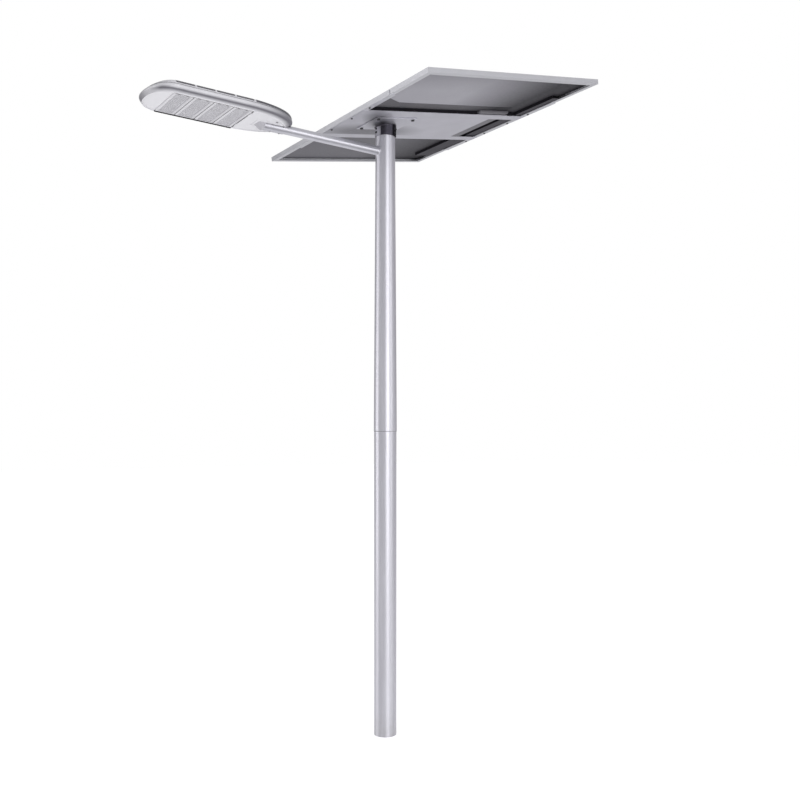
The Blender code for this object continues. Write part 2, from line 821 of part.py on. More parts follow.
def make_lower_housing(arm_frame, finishes):
    """The cast pan: a light face inside a low rim, a flank that flares outward, and an upright side wall."""
    rings = [
        head_ring(FACE_LEVEL),
        head_ring(RIM_INNER_LEVEL),
        head_ring(RIM_OUTER_LEVEL),
        head_ring(FLANK_LEVEL),
        head_ring(BELLY_LEVEL),
        head_ring(WALL_LEVEL),
        head_ring(SEAM_LEVEL),
        head_ring(SEAM_LEVEL, HOUSING_WALL),
        head_ring(BELLY_LEVEL, HOUSING_WALL),
        head_ring(FLANK_LEVEL, HOUSING_WALL + 0.0015),
        head_ring(FACE_LEVEL, HOUSING_WALL, -HOUSING_WALL),
    ]
    housing = loft("lower_housing", rings, arm_frame, finishes["housing"])
    below, above = FACE_HEIGHT - 0.010, FACE_HEIGHT + HOUSING_WALL + 0.0005
    window_top = MODULE_TOP + 0.0005
    module_end = MODULE_START + MODULE_COUNT * MODULE_PITCH
    window_half = MODULE_HALF_WIDTH + MODULE_GAP / 2
    carve(housing, (-module_end, -window_half, below), (-MODULE_START, window_half, window_top))
    hole_rings = [tail_points(height, *DOOR_HOLE_INSETS, DOOR_HOLE_FRONT) for height in (below, above)]
    door_hole = loft("door_hole", hole_rings, arm_frame)
    hide_as_cutter(door_hole)
    combine(housing, door_hole)
    drill(housing, (-0.5, 0, 0), (-HEAD_REAR - 0.06, 0, 0), NOTCH_RADIUS, 32)
    add_hinge_eyes(housing, HOUSING_EYE_SPANS, (-HINGE_PLACE, 0, FACE_HEIGHT), -1, GAP)


def add_hinge_eyes(piece, spans, centre, side, running_gap):
    """Joins hinge eyes to a plate's edge. side is the sign of x from the hinge's axis towards the plate."""
    x, _, height = centre
    link_end = x + side * 0.005
    for label, (start, end) in spans.items():
        eye = rod(
            f"{piece.name}_eye_{label}",
            (x, start, height),
            (x, end, height),
            HINGE_EYE_RADIUS,
            piece.parent,
            sides=16,
        )
        absorb(piece, eye)
        link = box(
            f"{piece.name}_link_{label}",
            (min(x, link_end), start, height),
            (max(x, link_end), end, height + DOOR_THICKNESS),
            piece.parent,
        )
        absorb(piece, link)
        drill(piece, (x, start - 0.01, height), (x, end + 0.01, height), HINGE_PIN_RADIUS + running_gap, 16)


def make_top_cover(arm_frame, finishes):
    """The cast cover. Each heat sink's fins stand in an opening of their own."""
    rings = [
        head_ring(CROWN_LEVEL),
        head_ring(BROW_LEVEL),
        head_ring(SHOULDER_LEVEL),
        head_ring(SEAM_LEVEL, 0, -GAP),
        head_ring(SEAM_LEVEL, COVER_WALL, -GAP),
        head_ring(BROW_LEVEL, COVER_WALL, COVER_WALL),
        head_ring(CROWN_LEVEL, 0.0005, COVER_WALL),
    ]
    cover = loft("top_cover", rings, arm_frame, finishes["housing"])
    for number in range(MODULE_COUNT):
        start = MODULE_START + number * MODULE_PITCH
        margin = 0.0035
        carve(
            cover,
            (-start - MODULE_PITCH + margin, -HEAT_SINK_HALF_WIDTH - 0.002, COVER_TOP - 0.01),
            (-start - margin, HEAT_SINK_HALF_WIDTH + 0.002, COVER_TOP + 0.01),
        )
    return cover


def make_light_modules(arm_frame, finishes):
    """Each module is a lens plate in the housing's window, with a finned heat sink above it."""
    for number in range(MODULE_COUNT):
        start = MODULE_START + number * MODULE_PITCH + MODULE_GAP / 2
        end = start + MODULE_PITCH - MODULE_GAP
        module = box(
            f"led_module_{number + 1}",
            (-end, -MODULE_HALF_WIDTH, MODULE_LOW),
            (-start, MODULE_HALF_WIDTH, MODULE_TOP),
            arm_frame,
            finishes["lens"],
        )
        bevel = module.modifiers.new("soft_edges", "BEVEL")
        bevel.width = 0.0008
        bevel.segments = 1
        base = MODULE_TOP + GAP
        first_fin, last_fin = start + 0.008, end - 0.008
        fin_pitch = (last_fin - first_fin - FIN_THICKNESS) / (FIN_COUNT - 1)
        outline = [(-start - 0.003, base), (-start - 0.003, base + HEAT_SINK_BASE)]
        for fin in range(FIN_COUNT):
            near = first_fin + fin * fin_pitch
            far = near + FIN_THICKNESS
            outline += [
                (-near, base + HEAT_SINK_BASE),
                (-near, HEAT_SINK_TOP),
                (-far, HEAT_SINK_TOP),
                (-far, base + HEAT_SINK_BASE),
            ]
        outline += [(-end + 0.003, base + HEAT_SINK_BASE), (-end + 0.003, base)]
        sink = outline_prism(
            f"heat_sink_{number + 1}", outline, HEAT_SINK_HALF_WIDTH * 2, arm_frame, finishes["dark"]
        )
        sink.rotation_euler = (math.pi / 2, 0, 0)


def socket_ring(place, half_width, low, high, squareness=1.0, count=32):
    """One cross-section of the socket: an ellipse, or a squarer superellipse, between two heights."""
    middle, half_height = (low + high) / 2, (high - low) / 2
    ring = []
    for step in range(count):
        angle = 2 * math.pi * step / count
        across = math.copysign(abs(math.cos(angle)) ** squareness, math.cos(angle))
        upward = math.copysign(abs(math.sin(angle)) ** squareness, math.sin(angle))
        ring.append((-place, half_width * across, middle + half_height * upward))
    return ring


def make_socket(arm_frame, finishes):
    """The slip-fitter: a round neck on the arm that flattens into a wedge at its front."""
    edge = 0.001
    round_half = SOCKET_RADIUS - edge
    rings = [
        socket_ring(SOCKET_REAR, round_half, -round_half, round_half),
        socket_ring(SOCKET_REAR + edge * 2, SOCKET_RADIUS, -SOCKET_RADIUS, SOCKET_RADIUS),
        socket_ring(SOCKET_NECK_END, SOCKET_RADIUS, -SOCKET_RADIUS, SOCKET_RADIUS),
        socket_ring(SOCKET_NECK_END + 0.006, 0.034, -SOCKET_RADIUS, 0.033, 0.8),
        socket_ring(SOCKET_NECK_END + 0.014, 0.040, -0.022, 0.037, 0.6),
        socket_ring(SOCKET_FRONT, 0.045, 0.001, 0.038, 0.4),
    ]
    socket = loft("arm_socket", rings, arm_frame, finishes["housing"])
    drill(socket, (-0.6, 0, 0), (-ARM_END - GAP, 0, 0), ARM_RADIUS + GAP, 32)
    drill(socket, (-ARM_END + 0.01, 0, 0), (-SOCKET_BORE_END, 0, 0.004), 0.010, 16)
    drill(socket, (-SOCKET_BORE_END + 0.008, 0, 0.006), (-SOCKET_BORE_END + 0.008, -0.060, 0.016), 0.006, 16)
    for number, place in enumerate(SOCKET_SCREW_PLACES, start=1):
        drill(socket, (-place, 0, 0), (-place, 0, -0.05), SOCKET_SCREW_RADIUS + GAP, 12)
        screw = bolt(
            f"socket_screw_{number}",
            0.005,
            0.003,
            SOCKET_SCREW_RADIUS,
            SOCKET_RADIUS - ARM_RADIUS - GAP,
            arm_frame,
            finishes["steel"],
        )
        screw.location = (-place, 0, -SOCKET_RADIUS - GAP)
        screw.rotation_euler = (math.pi, 0, 0)


def make_compartment(arm_frame, finishes):
    """The rear compartment's contents: the battery and the controller, either side of the socket."""
    battery = box(
        "battery_pack", (-0.866, 0.052, 0.014), (-0.745, 0.112, 0.046), arm_frame, finishes["battery"]
    )
    controller = box(
        "charge_controller", (-0.866, -0.120, 0.012), (-0.755, -0.070, 0.040), arm_frame, finishes["plastic"]
    )
    for piece in (battery, controller):
        bevel = piece.modifiers.new("round_edges", "BEVEL")
        bevel.width = 0.004
        bevel.segments = 2
    exit_place = -SOCKET_BORE_END + 0.008
    lead_route = [
        (-CABLE_SPLIT - GAP, 0, 0),
        (-CABLE_SPLIT - 0.006, 0, 0),
        (exit_place + 0.003, -0.003, 0.003),
        (exit_place, -0.016, 0.0088),
        (exit_place, -0.045, 0.0136),
        (exit_place, -0.058, 0.0165),
        (exit_place, -0.0645, 0.0170),
        (exit_place, -0.0695, 0.0170),
    ]
    cable("lamp_lead", lead_route, CABLE_RADIUS * 0.8, arm_frame, finishes["rubber"], steps=4)


def make_door(arm_frame, finishes):
    """The rear door: a flat plate with a slot for the socket, eyes round its hinge pin, and two latches."""
    rod(
        "door_hinge_pin",
        (-HINGE_PLACE, -HINGE_HALF_LENGTH, FACE_HEIGHT),
        (-HINGE_PLACE, HINGE_HALF_LENGTH, FACE_HEIGHT),
        HINGE_PIN_RADIUS,
        arm_frame,
        finishes["steel"],
        sides=16,
    )
    hinge = add_empty("door_hinge_axis", (-HINGE_PLACE, 0, FACE_HEIGHT), arm_frame)
    low, high = 0, DOOR_THICKNESS
    rings = []
    for height in (low, high):
        outline = tail_points(height, *DOOR_INSETS, DOOR_FRONT)
        rings.append([(x + HINGE_PLACE, y, z) for x, y, z in outline])
    door = loft("rear_door", rings, hinge, finishes["face"])
    for rear, front, half_width in DOOR_SLOTS:
        carve(
            door,
            (HINGE_PLACE - front, -half_width, low - 0.01),
            (HINGE_PLACE - rear, half_width, high + 0.01),
        )
    for start, end in HOUSING_EYE_SPANS.values():
        carve(
            door,
            (-0.005, start - DOOR_EDGE_GAP, -0.005),
            (HINGE_EYE_RADIUS + DOOR_EDGE_GAP, end + DOOR_EDGE_GAP, 0.005),
        )
    add_hinge_eyes(door, DOOR_EYE_SPANS, (0, 0, 0), 1, HINGE_RUNNING_GAP)
    for name, side in (("latch_near", -1), ("latch_far", 1)):
        make_latch(name, side, hinge, door, low, high, finishes)


def make_latch(name, side, hinge, door, low, high, finishes):
    """A quarter-turn latch: a knob under the door, a shaft through it and a crossbar above it."""
    place = HINGE_PLACE - LATCH_PLACE
    across = side * LATCH_OFFSET
    drill(door, (place, across, low - 0.01), (place, across, high + 0.01), LATCH_SHAFT_RADIUS + GAP, 16)
    axis = add_empty(f"{name}_axis", (place, across, 0), hinge)
    knob_low = low - GAP - 0.002
    bar_low = high + GAP
    profile = [
        (0, bar_low + 0.003),
        (LATCH_SHAFT_RADIUS, bar_low + 0.003),
        (LATCH_SHAFT_RADIUS, low - GAP),
        (LATCH_KNOB_RADIUS, low - GAP),
        (LATCH_KNOB_RADIUS, knob_low + 0.0005),
        (LATCH_KNOB_RADIUS - 0.0005, knob_low),
        (0, knob_low),
    ]
    latch = turned(name, profile, axis, finishes["steel"], sides=20)
    crossbar = box(f"{name}_bar", (-0.0025, -0.011, bar_low), (0.0025, 0.011, bar_low + 0.0028), axis)
    absorb(latch, crossbar)
    carve(latch, (-0.0012, -0.012, knob_low - 0.001), (0.0012, 0.012, knob_low + 0.001))


# ---- Assembly ----


def build():
    clear_scene()
    finishes = make_finishes()
    make_pole(finishes)
    arm_frame = add_empty("lamp_roll_axis", (0, 0, ARM_HEIGHT), tilt=ARM_RISE)
    make_arm(arm_frame, finishes)

    turn = add_empty("panel_turn_axis", (0, 0, 0))
    panel = add_empty("panel_frame", (0, 0, PANEL_HEIGHT), turn, -PANEL_TILT)
    bpy.context.view_layer.update()
    flange_plate, plate_low = make_bracket(turn, panel, finishes)
    centre_plate = make_support(panel, finishes)
    add_flange_bolts(panel, flange_plate, plate_low, centre_plate, finishes)
    frames = make_panel(panel, finishes)
    for side, edge, inward in (("left", PANEL_LOW_EDGE, 1), ("right", PANEL_HIGH_EDGE, -1)):
        rail = make_side_rail(f"side_rail_{side}", edge, inward, panel, finishes)
        add_rail_screws(side, edge, inward, rail, frames[f"frame_{side}"], centre_plate, panel, finishes)
    make_panel_lead(turn, panel, finishes)

    make_lower_housing(arm_frame, finishes)
    make_top_cover(arm_frame, finishes)
    make_light_modules(arm_frame, finishes)
    make_socket(arm_frame, finishes)
    make_compartment(arm_frame, finishes)
    make_door(arm_frame, finishes)
    bpy.context.view_layer.update()


build()
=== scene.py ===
"""Looks for the solar street lamp: a steel pole, a tilted panel on top and an LED head on a side arm.

Metres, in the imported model's frame. The arm points along -X, and the panel's high side faces +X.
"""

import json
import math

import bmesh
import bpy
from mathutils import Matrix, Vector


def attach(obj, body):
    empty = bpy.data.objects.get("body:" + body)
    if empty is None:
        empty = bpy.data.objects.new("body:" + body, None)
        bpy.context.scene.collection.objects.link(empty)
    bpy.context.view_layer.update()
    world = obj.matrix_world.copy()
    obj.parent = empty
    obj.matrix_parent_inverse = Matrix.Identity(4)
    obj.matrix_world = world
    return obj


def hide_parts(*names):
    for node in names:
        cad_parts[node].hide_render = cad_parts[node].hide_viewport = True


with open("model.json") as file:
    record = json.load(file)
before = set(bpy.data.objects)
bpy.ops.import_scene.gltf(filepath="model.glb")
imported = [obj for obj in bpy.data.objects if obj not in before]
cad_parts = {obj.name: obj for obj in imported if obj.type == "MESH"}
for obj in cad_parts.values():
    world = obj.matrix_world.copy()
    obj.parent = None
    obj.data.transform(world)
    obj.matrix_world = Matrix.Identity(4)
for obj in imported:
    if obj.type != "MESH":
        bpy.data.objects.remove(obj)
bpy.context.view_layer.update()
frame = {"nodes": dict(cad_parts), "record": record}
nodes = frame["nodes"]

# ---- Frames and sizes shared with the CAD ----

GAP = 0.0003
LOWER_RADIUS = 0.0635
UPPER_FOOT_RADIUS = 0.0655
UPPER_TOP_RADIUS = 0.0550
POLE_WALL = 0.003
POLE_POINTS = 128
SEAM_HEIGHT = 1.727
POLE_HEIGHT = 3.449
SPIGOT_TOP = 1.977
ARM_RADIUS = 0.02415
ARM_WALL = 0.0032
ARM_END = 0.762

PANEL_TILT = math.radians(8.9)
PANEL_HEIGHT = 3.475
PANEL_LOW = -0.3046
PANEL_HIGH = 0.8294
PANEL_HALF = 0.861
FRAME_FLANGE = 0.030
RAIL_LOW = -0.0033
RAIL_SCREW_INSET = 0.014
RAIL_SCREW_PLACES = (-0.300, -0.112, 0.112, 0.300)
PLATE_LOW = -0.0056
PLATE_HALF = 0.190
LIP_FACE = 0.260
LIP_START = -0.262
LIP_END = 0.792
FLANGE_LOW = -0.0119
FLANGE_BOLT_X = (-0.135, 0.095)
FLANGE_BOLT_Y = (-0.138, 0.044)
SLEEVE_RADIUS = 0.0586
SLEEVE_BORE = 0.0558
SLEEVE_FOOT = 3.400
SLEEVE_POINTS = 96
STRAP_DROP = 0.0052
# Name, inner edge, and the ends across the panel of each dark sheet along the high frame member, which
# is painted shade.
STIFFENERS = (
    ("near", 0.748, -0.590, -0.262),
    ("middle", 0.722, -0.258, 0.262),
    ("far", 0.680, 0.264, 0.685),
)

CELL_COLUMNS, CELL_ROWS = 6, 18
CELL_WIDTH, CELL_HEIGHT = 0.1812, 0.0902
CELL_GAP = 0.0030
HALVES_GAP = 0.012
RIBBONS = 10

HEAD_REAR = 0.601
HEAD_TIP = 1.4052
HALF_WIDTH = 0.166
NOSE_START = 1.272
NOSE_FULLNESS = 2.3
REAR_START = 0.911
MODULE_START = 0.880
MODULE_PITCH = 0.1035
MODULE_COUNT = 4
MODULE_END = MODULE_START + MODULE_COUNT * MODULE_PITCH
MODULE_PLACES = [MODULE_START + number * MODULE_PITCH for number in range(MODULE_COUNT)]
MODULE_HALF = 0.146
NOSE_STEPS = 44
REAR_STEPS = 44

# A level of the head: height, then how far its outline stands in at the sides, nose and tail.
FACE = (0.0030, 0.0165, 0.0165, 0.0450)
RIM_INNER = (0.0000, 0.0160, 0.0160, 0.0440)
RIM_OUTER = (0.0000, 0.0130, 0.0125, 0.0400)
FLANK = (0.0190, 0.0020, 0.0010, 0.0060)
BELLY = (0.0270, 0.0000, 0.0000, 0.0000)
WALL = (0.0370, 0.0000, 0.0100, 0.0010)
SEAM_LOW = (0.0420, 0.0012, 0.0170, 0.0027)
SEAM_HIGH = (0.0440, 0.0016, 0.0185, 0.0033)
SHOULDER = (0.0500, 0.0025, 0.0270, 0.0060)
BROW = (0.0595, 0.0080, 0.0440, 0.0130)
CROWN = (0.0630, 0.0200, 0.0620, 0.0300)
# The rear lid's levels: height, then the insets at the sides and the tail.
LID = [
    (0.0465, 0.0014, 0.0030),
    (0.0515, 0.0022, 0.0050),
    (0.0560, 0.0040, 0.0082),
    (0.0602, 0.0078, 0.0124),
    (0.0638, 0.0195, 0.0290),
]

# The arm's frame: its x axis points back to the pole, and its y axis is level.
joints = frame["record"]["behaviour"]["joints"]
roll = next(row for row in joints if row["name"] == "lamp_roll")
arm_x = (-Vector(roll["axis"])).normalized()
arm_y = Vector((0, 1, 0))
arm_turn = Matrix((arm_x, arm_y, arm_x.cross(arm_y))).transposed().to_4x4()
ARM = Matrix.Translation(roll["pos_m"]) @ arm_turn
PANEL = Matrix.Translation((0, 0, PANEL_HEIGHT)) @ Matrix.Rotation(-PANEL_TILT, 4, "Y")
WORLD = Matrix.Identity(4)
ALONG_ARM = Matrix.Rotation(-math.pi / 2, 4, "Y")


# ---- Materials ----

BUMP_DISTANCE = 0.001
SHADOW = (0.010, 0.009, 0.012)


class Shader:
    """A small helper for building one node material."""

    def __init__(self, name):
        self.material = bpy.data.materials.new(name)
        self.material.use_nodes = True
        self.tree = self.material.node_tree
        self.bsdf = self.tree.nodes["Principled BSDF"]
        self.coordinates = self.add("ShaderNodeTexCoord")
        self.place = self.coordinates.outputs["Object"]

    def add(self, kind, **inputs):
        node = self.tree.nodes.new(kind)
        for key, value in inputs.items():
            self.put(node.inputs[key.replace("_", " ")], value)
        return node

    def put(self, socket, value):
        """Links the socket to another, or sets its value or colour."""
        if isinstance(value, bpy.types.NodeSocket):
            self.tree.links.new(value, socket)
        elif socket.type == "RGBA":
            socket.default_value = (*value, 1.0)
        else:
            socket.default_value = value

    def stretch(self, scale):
        """The object's coordinates scaled unevenly, which draws a pattern out into streaks."""
        return self.add("ShaderNodeMapping", Vector=self.place, Scale=scale).outputs["Vector"]

    def noise(self, scale, detail=3.0, vector=None):
        place = vector or self.place
        return self.add("ShaderNodeTexNoise", Vector=place, Scale=scale, Detail=detail).outputs["Fac"]

    def cells(self, scale, output):
        return self.add("ShaderNodeTexVoronoi", Vector=self.place, Scale=scale).outputs[output]

    def spread(self, value, low, high, start=0.3, end=0.7):
        """The value mapped so that start becomes low and end becomes high, and held beyond them."""
        limits = {"From_Min": start, "From_Max": end, "To_Min": low, "To_Max": high}
        return self.add("ShaderNodeMapRange", Value=value, **limits).outputs["Result"]

    def times(self, first, second):
        return self.math("MULTIPLY", first, second)

    def math(self, operation, first, second=0.0):
        node = self.add("ShaderNodeMath")
        node.operation = operation
        self.put(node.inputs[0], first)
        self.put(node.inputs[1], second)
        return node.outputs[0]

    def mix(self, share, first, second):
        node = self.add("ShaderNodeMix")
        node.data_type = "RGBA"
        for socket, value in zip((node.inputs["Factor"], *node.inputs[6:8]), (share, first, second)):
            self.put(socket, value)
        return node.outputs[2]

    def mottle(self, scale, first, second):
        """A slow drift between two colours."""
        return self.mix(self.spread(self.noise(scale), 0.0, 1.0), first, second)

    def axis(self, letter):
        """One coordinate of the point, in the object's own frame."""
        return self.add("ShaderNodeSeparateXYZ", Vector=self.place).outputs[letter]

    def facing(self, letter):
        """How far the surface faces along one axis of the object, from -1 to 1."""
        normal = self.coordinates.outputs["Normal"]
        return self.add("ShaderNodeSeparateXYZ", Vector=normal).outputs[letter]

    def blot(self, centre, reach, turn):
        """A soft oval patch: 1 at its centre and 0 beyond its reach."""
        rotation = (0, 0, math.radians(turn))
        inputs = {"Location": centre, "Rotation": rotation, "Scale": reach}
        mapping = self.add("ShaderNodeMapping", Vector=self.place, **inputs)
        mapping.vector_type = "TEXTURE"
        patch = self.add("ShaderNodeTexGradient", Vector=mapping.outputs["Vector"])
        patch.gradient_type = "SPHERICAL"
        return patch.outputs["Fac"]

    def bump(self, height, strength):
        node = self.add("ShaderNodeBump", Height=height, Strength=strength, Distance=BUMP_DISTANCE)
        self.put(self.bsdf.inputs["Normal"], node.outputs["Normal"])

    def darken(self, tint, *layers):
        """The tint under layers of (share, colour)."""
        for share, colour in layers:
            tint = self.mix(share, tint, colour)
        return tint

    def finish(self, colour, metallic, roughness, **more):
        more.update(Base_Color=colour, Metallic=metallic, Roughness=roughness)
        for key, value in more.items():
            self.put(self.bsdf.inputs[key.replace("_", " ")], value)
        return self.material


def shade(colour, share):
    return tuple(channel * share for channel in colour)


def painted(name, colour, roughness, grain, peel, drift, metallic=0.0, coat=0.0, shine=0.5):
    """Powder coat, moulded plastic or rubber: a fine orange peel over a slow drift of tone."""
    look = Shader(name)
    tint = look.mottle(5.0, shade(colour, 1 - drift), shade(colour, 1 + drift))
    speck = look.spread(look.noise(grain / 2), roughness - 0.05, roughness + 0.05)
    look.bump(look.noise(grain, 2.0), peel)
    return look.finish(
        tint, metallic, speck, Coat_Weight=coat, Coat_Roughness=0.2, Specular_IOR_Level=shine
    )


def tube_finish(name, along):
    """Silver coat on a drawn tube, with streaks and a stretched sheen along it.

    The pole, along Z, has dust near the ground, and the arm, along X, a painted dark reflection: a
    darker band low on its sides.
    """
    look = Shader(name)
    streaks = look.noise(1.0, 3.0, look.stretch([1.6 if letter == along else 55 for letter in "XYZ"]))
    tint = look.mix(look.spread(streaks, 0.0, 1.0), (0.56, 0.555, 0.60), (0.64, 0.635, 0.68))
    if along == "Z":
        dust = look.spread(look.axis("Z"), 0.35, 0.0, 0.0, 0.16)
        patch = look.times(dust, look.spread(look.noise(30.0), 0.2, 1.0))
        tint = look.mix(patch, tint, (0.40, 0.385, 0.37))
    else:
        # Painted dark reflection: darker where the arm's surface faces about 38 degrees below level.
        painted_shade_band = look.math("ABSOLUTE", look.math("ADD", look.facing("Z"), 0.62))
        tint = look.mix(look.spread(painted_shade_band, 0.75, 0.0, 0.02, 0.26), tint, (0.24, 0.237, 0.26))
    flake = look.spread(look.cells(1600.0, "Distance"), 0.40, 0.48)
    look.bump(look.noise(750.0, 2.0), 0.04)
    tangent = look.add("ShaderNodeTangent")
    tangent.direction_type = "RADIAL"
    tangent.axis = along
    look.put(look.bsdf.inputs["Tangent"], tangent.outputs["Tangent"])
    return look.finish(tint, 0.75, flake, Anisotropic=0.8, Anisotropic_Rotation=0.25)


def galvanised_finish(name, light, dark, roughness, painted_shadows=()):
    """Zinc-coated sheet with its crystal spangle, a slightly blotchy sheen, and patches of painted
    shadow.
    """
    look = Shader(name)
    spangle = look.add("ShaderNodeSeparateColor", Color=look.cells(85.0, "Color")).outputs["Red"]
    blotch = look.spread(look.noise(9.0), 0.0, 1.0)
    tint = look.mix(look.math("MULTIPLY_ADD", spangle, 0.45), dark, light)
    tint = look.mix(look.times(blotch, 0.35), tint, shade(dark, 0.95))
    for strength, centre, reach, turn in painted_shadows:
        # Each patch mixes the tint towards near-black: a painted shadow.
        patch = look.spread(look.blot(centre, reach, turn), 0.0, 1.0, 0.0, 0.7)
        tint = look.mix(look.times(patch, strength), tint, (0.030, 0.028, 0.035))
    rough = look.spread(spangle, roughness - 0.05, roughness + 0.07, 0.0, 1.0)
    look.bump(look.noise(320.0), 0.04)
    return look.finish(tint, 0.85, rough)


def anodised_finish():
    """Anodised aluminium extrusion with fine drawing lines."""
    look = Shader("anodised_aluminium")
    lines = look.noise(1.0, 4.0, look.stretch((900, 14, 900)))
    tint = look.mix(look.spread(lines, 0.0, 1.0), (0.51, 0.51, 0.54), (0.59, 0.59, 0.62))
    look.bump(lines, 0.05)
    return look.finish(tint, 0.80, look.spread(lines, 0.30, 0.42))


def steel_finish(name, colour, roughness=0.3):
    """Screw steel with turned marks and a few darker handling spots."""
    look = Shader(name)
    spots = look.spread(look.noise(260.0), 0.0, 1.0)
    tint = look.mix(spots, shade(colour, 0.8), shade(colour, 1.1))
    look.bump(look.noise(1500.0), 0.08)
    return look.finish(tint, 0.95, look.spread(spots, roughness - 0.06, roughness + 0.08, 0.0, 1.0))


def backsheet_finish():
    """Matt grey laminate with painted shade: darker towards the high edge, the near edge and the far
    half.
    """
    look = Shader("laminate_backsheet")
    tint = look.mottle(3.0, (0.325, 0.320, 0.350), (0.355, 0.350, 0.380))
    # Painted shade: masks for the far half, the near edge and the high edge, each mixed towards SHADOW.
    far = look.spread(look.axis("Y"), 0.0, 1.0, -0.25, 0.30)
    edge = look.spread(look.axis("Y"), 0.32, 0.0, -0.86, -0.55)
    along = look.math("SUBTRACT", look.axis("X"), look.times(far, 0.08))
    high = look.spread(along, 0.0, 0.92, 0.20, 0.65)
    tint = look.darken(tint, (look.times(far, 0.58), SHADOW), (edge, SHADOW), (high, SHADOW))
    look.bump(look.noise(420.0), 0.05)
    return look.finish(tint, 0.0, look.spread(look.noise(60.0), 0.55, 0.65), Specular_IOR_Level=0.15)


def rail_shadow_sheet_finish():
    """A dark sheet under the rail that stands in for the rail's cast shadow on the backsheet: painted
    shadow, blacker towards the high edge.
    """
    look = Shader("rail_painted_shadow_sheet")
    high = look.spread(look.axis("X"), 0.0, 0.85, 0.34, 0.56)
    tint = look.mix(high, look.mottle(5.0, (0.108, 0.105, 0.115), (0.122, 0.119, 0.129)), SHADOW)
    look.bump(look.noise(420.0), 0.08)
    return look.finish(tint, 0.0, look.spread(look.noise(210.0), 0.6, 0.7), Specular_IOR_Level=0.1)


def cell_finish():
    """Monocrystalline silicon: blue-black, with fine printed fingers across each cell."""
    look = Shader("silicon_cells")
    wave = look.add("ShaderNodeTexWave", Vector=look.place, Scale=105.0)
    wave.bands_direction = "Y"
    fingers = look.spread(wave.outputs["Fac"], 0.0, 0.55, 0.90, 1.0)
    silicon = look.mottle(4.0, (0.008, 0.012, 0.030), (0.014, 0.020, 0.045))
    tint = look.mix(fingers, silicon, (0.16, 0.17, 0.20))
    return look.finish(tint, 0.25, look.spread(look.noise(90.0), 0.24, 0.34), Coat_Weight=0.3)


def glass_finish():
    """Clear tempered glass: see-through, with a sharp reflection that grows at low angles.

    Only the outer side of each face reflects, so that the sheet's underside doesn't act as a mirror.
    """
    look = Shader("tempered_glass")
    clear = look.add("ShaderNodeBsdfTransparent", Color=(0.95, 0.965, 0.96))
    look.bump(look.noise(700.0), 0.01)
    look.finish((0.94, 0.95, 0.97), 1.0, look.spread(look.noise(12.0), 0.05, 0.07))
    edge = look.add("ShaderNodeFresnel", IOR=1.45).outputs["Fac"]
    outside = look.math("SUBTRACT", 1.0, look.add("ShaderNodeNewGeometry").outputs["Backfacing"])
    mixer = look.add("ShaderNodeMixShader", Fac=look.times(edge, outside))
    look.put(mixer.inputs[1], clear.outputs["BSDF"])
    look.put(mixer.inputs[2], look.bsdf.outputs["BSDF"])
    look.put(look.tree.nodes["Material Output"].inputs["Surface"], mixer.outputs["Shader"])
    return look.material


def housing_finish():
    """Light grey enamel with painted light and shade: a darker band along the flared flank, darker tail
    and far side, darker low at the nose, and lighter where it faces the nose.
    """
    look = Shader("housing_enamel")
    light = look.mottle(6.0, (0.60, 0.595, 0.625), (0.66, 0.655, 0.685))
    height = look.axis("Z")
    below_belly = look.spread(height, 1.0, 0.0, 0.0185, 0.0290)
    above_rim = look.spread(height, 0.0, 1.0, 0.0010, 0.0150)
    past_nose = look.spread(look.facing("X"), 0.0, 1.0, -0.92, -0.60)
    at_nose = look.math("SUBTRACT", 1.0, past_nose)
    # Painted highlight: lighter where the surface faces the nose tip.
    light = look.mix(at_nose, light, (0.80, 0.795, 0.82))
    # Painted shade: a darker band on the flank between rim and belly, and darker low down at the nose.
    band = look.times(look.times(below_belly, above_rim), past_nose)
    low = look.times(look.spread(height, 0.45, 0.0, 0.002, 0.020), at_nose)
    above_flare = look.spread(height, 0.0, 1.0, 0.010, 0.020)
    # Painted shade on the tail and on the far side.
    tail = look.times(look.spread(look.facing("X"), 0.0, 0.85, -0.05, 0.55), above_flare)
    beyond = look.spread(look.facing("Y"), 0.0, 0.80, -0.52, 0.0)
    tint = look.darken(
        light,
        (band, (0.125, 0.121, 0.140)),
        (low, (0.140, 0.136, 0.155)),
        (tail, (0.120, 0.116, 0.135)),
        (beyond, (0.110, 0.106, 0.125)),
    )
    look.bump(look.noise(1100.0, 2.0), 0.04)
    rough = look.spread(look.noise(500.0), 0.34, 0.44)
    return look.finish(tint, 0.15, rough, Coat_Weight=0.15, Coat_Roughness=0.2)


def lens_finish():
    """Moulded polycarbonate lens array, slightly milky."""
    look = Shader("lens_polycarbonate")
    tone = look.spread(look.noise(240.0), 0.0, 1.0)
    tint = look.mix(tone, (0.38, 0.375, 0.40), (0.64, 0.635, 0.66))
    look.bump(look.noise(900.0), 0.03)
    return look.finish(tint, 0.0, look.spread(tone, 0.16, 0.26, 0.0, 1.0), Coat_Weight=0.4)


ZINC = ((0.56, 0.555, 0.60), (0.43, 0.425, 0.47), 0.46)
# Painted shadows on the sheets over the post: strength, centre, reach and turn of each patch.
POLE_SHADOW = (0.62, (-0.122, -0.118, 3.46), (0.230, 0.090, 0.30), -128)
SLEEVE_CONTACT_SHADOW = (0.97, (-0.062, -0.052, 3.46), (0.072, 0.056, 0.30), -123)
FLANGE_CAST_SHADOW = (0.62, (-0.060, 0.130, 3.47), (0.420, 0.170, 0.30), 0)

